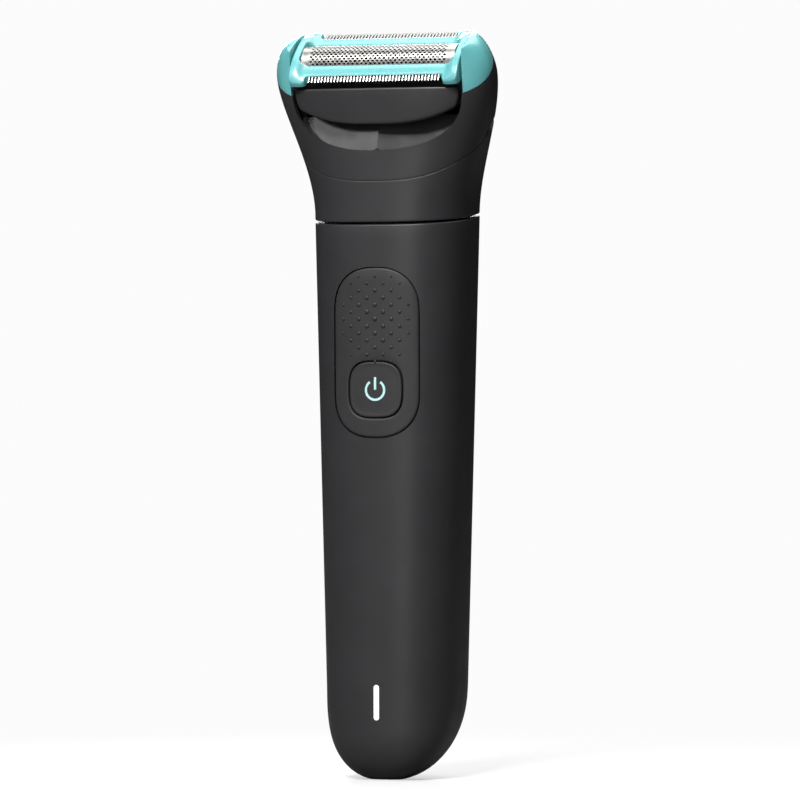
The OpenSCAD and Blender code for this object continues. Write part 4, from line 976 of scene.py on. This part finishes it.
SPECULAR, DEEP, DEEP_SCALE = "Specular IOR Level", "Subsurface Weight", "Subsurface Scale"
FINISHES = (
    ("charcoal_shell", (0.0255, 0.0248, 0.0266), 0.42, 0, (0.22, 2, 0.006, 0.5), (6, 3, 0.40, 0.46),
     (14, 2, 1.12), [(SPECULAR, 0.45)]),
    ("panel_grey", (0.0280, 0.0272, 0.0288), 0.5, 0, (0.16, 2, 0.008, 0.6), (3, 3, 0.46, 0.54),
     (8, 2, 1.1), [(SPECULAR, 0.4)]),
    ("symbol_teal", (0.50, 0.78, 0.78), 0.45, 0, None, (0.5, 2, 0.4, 0.5), (0.8, 2, 1.12)),
    ("lens_white", (0.9, 0.92, 0.95), 0.3, 0, None, (0.4, 2, 0.25, 0.4), None,
     [("Emission Color", (0.95, 0.98, 1, 1)), ("Emission Strength", 1.1), (DEEP, 0.2)]),
    ("grip_rubber", (0.016, 0.016, 0.0165), 0.62, 0, (0.12, 3, 0.01, 0.6), (2, 3, 0.56, 0.7),
     (5, 2, 1.25), [(SPECULAR, 0.35)]),
    ("seal_rubber", (0.045, 0.045, 0.05), 0.55, 0, (0.3, 2, 0.006, 0.5), (1.5, 2, 0.5, 0.62)),
    ("black_plastic", (0.018, 0.018, 0.019), 0.5, 0, (0.25, 2, 0.008, 0.6), (3, 3, 0.44, 0.56)),
    ("gloss_black", (0.030, 0.0296, 0.0305), 0.22, 0, (1.2, 2, 0.004, 0.3), (4, 3, 0.17, 0.23)),
    ("switch_metal", (0.6, 0.6, 0.62), 0.35, 1, (0.1, 2, 0.003, 0.5, (1, 12, 1)), (0.8, 2, 0.3, 0.42)),
    ("cell_wrap", (0.04, 0.16, 0.36), 0.3, 0, (0.9, 3, 0.03, 0.4, (6, 6, 1)), (4, 2, 0.24, 0.36),
     (10, 2, 1.3)),
    ("nickel", (0.66, 0.64, 0.58), 0.32, 1, (0.08, 2, 0.003, 0.5, (20, 20, 1)), (1.5, 3, 0.26, 0.42)),
    ("motor_steel", (0.45, 0.45, 0.46), 0.34, 1, (0.12, 2, 0.004, 0.6, (1, 1, 40)), (3, 3, 0.28, 0.42)),
    ("lead_wire", (0.30, 0.02, 0.015), 0.5, 0, (0.2, 2, 0.006, 0.5), (1, 2, 0.42, 0.56)),
    ("gold_contacts", (0.83, 0.60, 0.22), 0.22, 1, (0.15, 2, 0.002, 0.4), (0.6, 2, 0.16, 0.3)),
    ("screw_steel", (0.52, 0.52, 0.55), 0.3, 1, (0.15, 3, 0.004, 0.5), (0.7, 2, 0.24, 0.4)),
    ("polished_steel", (0.72, 0.72, 0.73), 0.14, 1, (0.06, 2, 0.001, 0.4, (1, 20, 20)),
     (2, 2, 0.1, 0.2)),
    ("white_acetal", (0.74, 0.72, 0.66), 0.4, 0, (0.4, 3, 0.006, 0.5), (2, 2, 0.34, 0.46), None,
     [(DEEP, 0.15), (DEEP_SCALE, 0.5 * MM)]),
    ("spring_steel", (0.42, 0.41, 0.42), 0.3, 1, (0.08, 2, 0.002, 0.5), (1, 2, 0.24, 0.38)),
    ("teal_gloss", (0.135, 0.46, 0.47), 0.36, 0, (0.3, 2, 0.003, 0.4), (3, 3, 0.32, 0.4),
     (7, 3, 1.08, (3, 1, 1)),
     [(SPECULAR, 0.5), (DEEP, 0.12), (DEEP_SCALE, 0.8 * MM), ("Coat Weight", 1),
      ("Coat Roughness", 0.28)]),
    ("foil_steel", (0.60, 0.59, 0.57), 0.34, 0.9, (0.05, 2, 0.002, 0.5, (30, 1, 1)),
     (1.2, 3, 0.26, 0.38), (4, 3, 0.93)),
    ("comb_steel", (0.50, 0.49, 0.475), 0.3, 0.95, (0.06, 2, 0.003, 0.5, (1, 14, 14)),
     (0.8, 3, 0.25, 0.4)),
    # blade_steel: base colour darkened far below bare steel as painted shade, so the cutters seen through
    # the foil's holes read near-black
    ("blade_steel", (0.15, 0.15, 0.155), 0.3, 1, (0.07, 2, 0.002, 0.5, (16, 1, 1)), (1, 2, 0.18, 0.32)),
)


def paint(obj, material):
    obj.data.materials.clear()
    obj.data.materials.append(material)


# --- Assembly -----------------------------
materials = {made.name: made.material
             for made in [finish(*row) for row in FINISHES] + [grey_nylon(), board_green()]}
slot_of = {part["node"]: part["material_slot"] for part in frame["record"]["subparts"]}
for node_name, node_object in frame["nodes"].items():
    paint(node_object, materials[slot_of[node_name]])


def add(piece, body, *nodes):
    """Gives a piece its body, the CAD nodes it stands for and the finish of the first of them."""
    paint(piece, materials[slot_of[nodes[0]]])
    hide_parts(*nodes)
    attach(piece, body)


add(handle_shell(), "handle", "handle_housing")
add(thumb_panel(), "handle", "front_panel")
add(button_cap(), "power_button", "power_button")
add(button_symbol(), "power_button", "power_symbol")
add(light_bar(), "handle", "indicator_lens")
add(grip_pad(), "handle", "rear_grip")
add(neck_skin(), "attachment", "neck_shell")
add(head_skin(), "head", "head_shell")
add(chin_skin(), "head", "chin_plate")
add(end_cap("left_cap_skin", -1), "head", "left_end_cap")
add(end_cap("right_cap_skin", 1), "head", "right_end_cap")
add(apron_skin(), "shaving_unit", "front_apron")
add(foil_surround(), "shaving_unit", "foil_frame")
add(foil_sheet(), "shaving_unit", "shaving_foil")
add(comb("front_comb", -1, FRONT_TIP, FRONT_BEND), "shaving_unit", "front_guard")
add(comb("rear_comb", 1, REAR_TIP, REAR_BEND), "shaving_unit", "rear_guard")


# --- Floor, light and camera --------------
FLOOR_R, FLOOR_NEAR, FLOOR_FAR, FLOOR_GLOW = 6.0, 0.0, 0.2, 0.45
FLOOR_PALE, FLOOR_BOUNCE = 0.86, 0.12   # how pale the floor is to the camera and to the object
WHITE, ROOM = 0.97, 0.02                # strength of the background and of the room's own light
LIGHT_TARGET = np.array([0, 0, 0.09])
CAMERA_LENS, CAMERA_SENSOR, CAMERA_CLIP = 269, 36, (0.01, 10)
CAMERA_AZIMUTH, CAMERA_DISTANCE, CAMERA_Z, CAMERA_SHIFT = math.radians(20), 1.4, 0.0883, 0.00056


def studio_floor():
    """A pale floor whose far part is as bright as the background, so that no horizon shows."""
    bm = bmesh.new()
    bmesh.ops.create_circle(bm, cap_ends=True, segments=96, radius=FLOOR_R)
    mesh = bpy.data.meshes.new("floor")
    bm.to_mesh(mesh)
    bm.free()
    obj = linked("floor", mesh)
    obj.location.z = -0.00005
    s = Shader("floor_paper", (FLOOR_PALE, FLOOR_PALE, FLOOR_PALE), 0.7)
    s.bump(s.noise(1.5, 3), 0.02, 0.2)
    where = s.node("ShaderNodeTexCoord")
    radius = s.node("ShaderNodeVectorMath", operation="LENGTH")
    s.link(where.outputs["Object"], radius.inputs[0])
    span = s.ranged(radius.outputs["Value"], (FLOOR_NEAR, FLOOR_FAR), (FLOOR_GLOW, 1),
                    interpolation_type="SMOOTHSTEP")
    glow = s.node("ShaderNodeEmission", {"Color": (WHITE, WHITE, WHITE, 1)})
    path = s.node("ShaderNodeLightPath")
    paper = s.ranged(path.outputs["Is Camera Ray"], (0, 1), (FLOOR_BOUNCE, FLOOR_PALE))
    s.link(paper, s.bsdf.inputs["Base Color"])
    share = s.node("ShaderNodeMath", operation="MULTIPLY")
    s.link(span, share.inputs[0])
    s.link(path.outputs["Is Camera Ray"], share.inputs[1])
    mix = s.node("ShaderNodeMixShader")
    s.link(share.outputs["Value"], mix.inputs[0])
    s.link(s.bsdf.outputs[0], mix.inputs[1])
    s.link(glow.outputs[0], mix.inputs[2])
    s.link(mix.outputs[0], s.tree.nodes["Material Output"].inputs["Surface"])
    paint(obj, s.material)


def studio_world():
    """White behind the object and a dim grey room all round it."""
    world = bpy.data.worlds.new("studio")
    world.use_nodes = True
    bpy.context.scene.world = world
    tree = world.node_tree
    room = tree.nodes["Background"]
    room.inputs["Color"].default_value = (1, 1, 1, 1)
    room.inputs["Strength"].default_value = ROOM
    white = tree.nodes.new("ShaderNodeBackground")
    white.inputs["Color"].default_value = (WHITE, WHITE, WHITE, 1)
    path = tree.nodes.new("ShaderNodeLightPath")
    mix = tree.nodes.new("ShaderNodeMixShader")
    tree.links.new(path.outputs["Is Camera Ray"], mix.inputs[0])
    tree.links.new(room.outputs[0], mix.inputs[1])
    tree.links.new(white.outputs[0], mix.inputs[2])
    tree.links.new(mix.outputs[0], tree.nodes["World Output"].inputs["Surface"])


def softbox(name, azimuth, elevation, distance, size, power):
    """A square area light that looks at the middle of the object."""
    data = bpy.data.lights.new(name, "AREA")
    data.shape, data.size, data.size_y, data.energy = "RECTANGLE", size[0], size[1], power
    obj = linked(name, data)
    a, e = math.radians(azimuth), math.radians(elevation)
    away = np.array([math.sin(a) * math.cos(e), -math.cos(a) * math.cos(e), math.sin(e)])
    obj.location = LIGHT_TARGET + away * distance
    obj.rotation_euler = (math.radians(90 - elevation), 0, a)


def camera():
    data = bpy.data.cameras.new("camera")
    data.lens, data.sensor_width = CAMERA_LENS, CAMERA_SENSOR
    data.clip_start, data.clip_end = CAMERA_CLIP
    obj = linked("camera", data)
    c, s = math.cos(CAMERA_AZIMUTH), math.sin(CAMERA_AZIMUTH)
    target = np.array([CAMERA_SHIFT * c, CAMERA_SHIFT * s, CAMERA_Z])
    obj.location = target + CAMERA_DISTANCE * np.array([s, -c, 0])
    obj.rotation_euler = (math.radians(90), 0, CAMERA_AZIMUTH)
    bpy.context.scene.camera = obj


studio_floor()
studio_world()
softbox("key", -2, 46, 1.0, (0.35, 0.28), 13.0)
softbox("front", 1, 6, 1.0, (0.22, 0.5), 1.3)
softbox("left", -38, 26, 1.0, (0.2, 0.2), 0.5)
softbox("top", 165, 75, 0.9, (0.9, 0.7), 5.5)
softbox("back", 205, 22, 1.1, (0.5, 0.5), 7.0)
camera()
bpy.context.scene.view_settings.view_transform = "Standard"
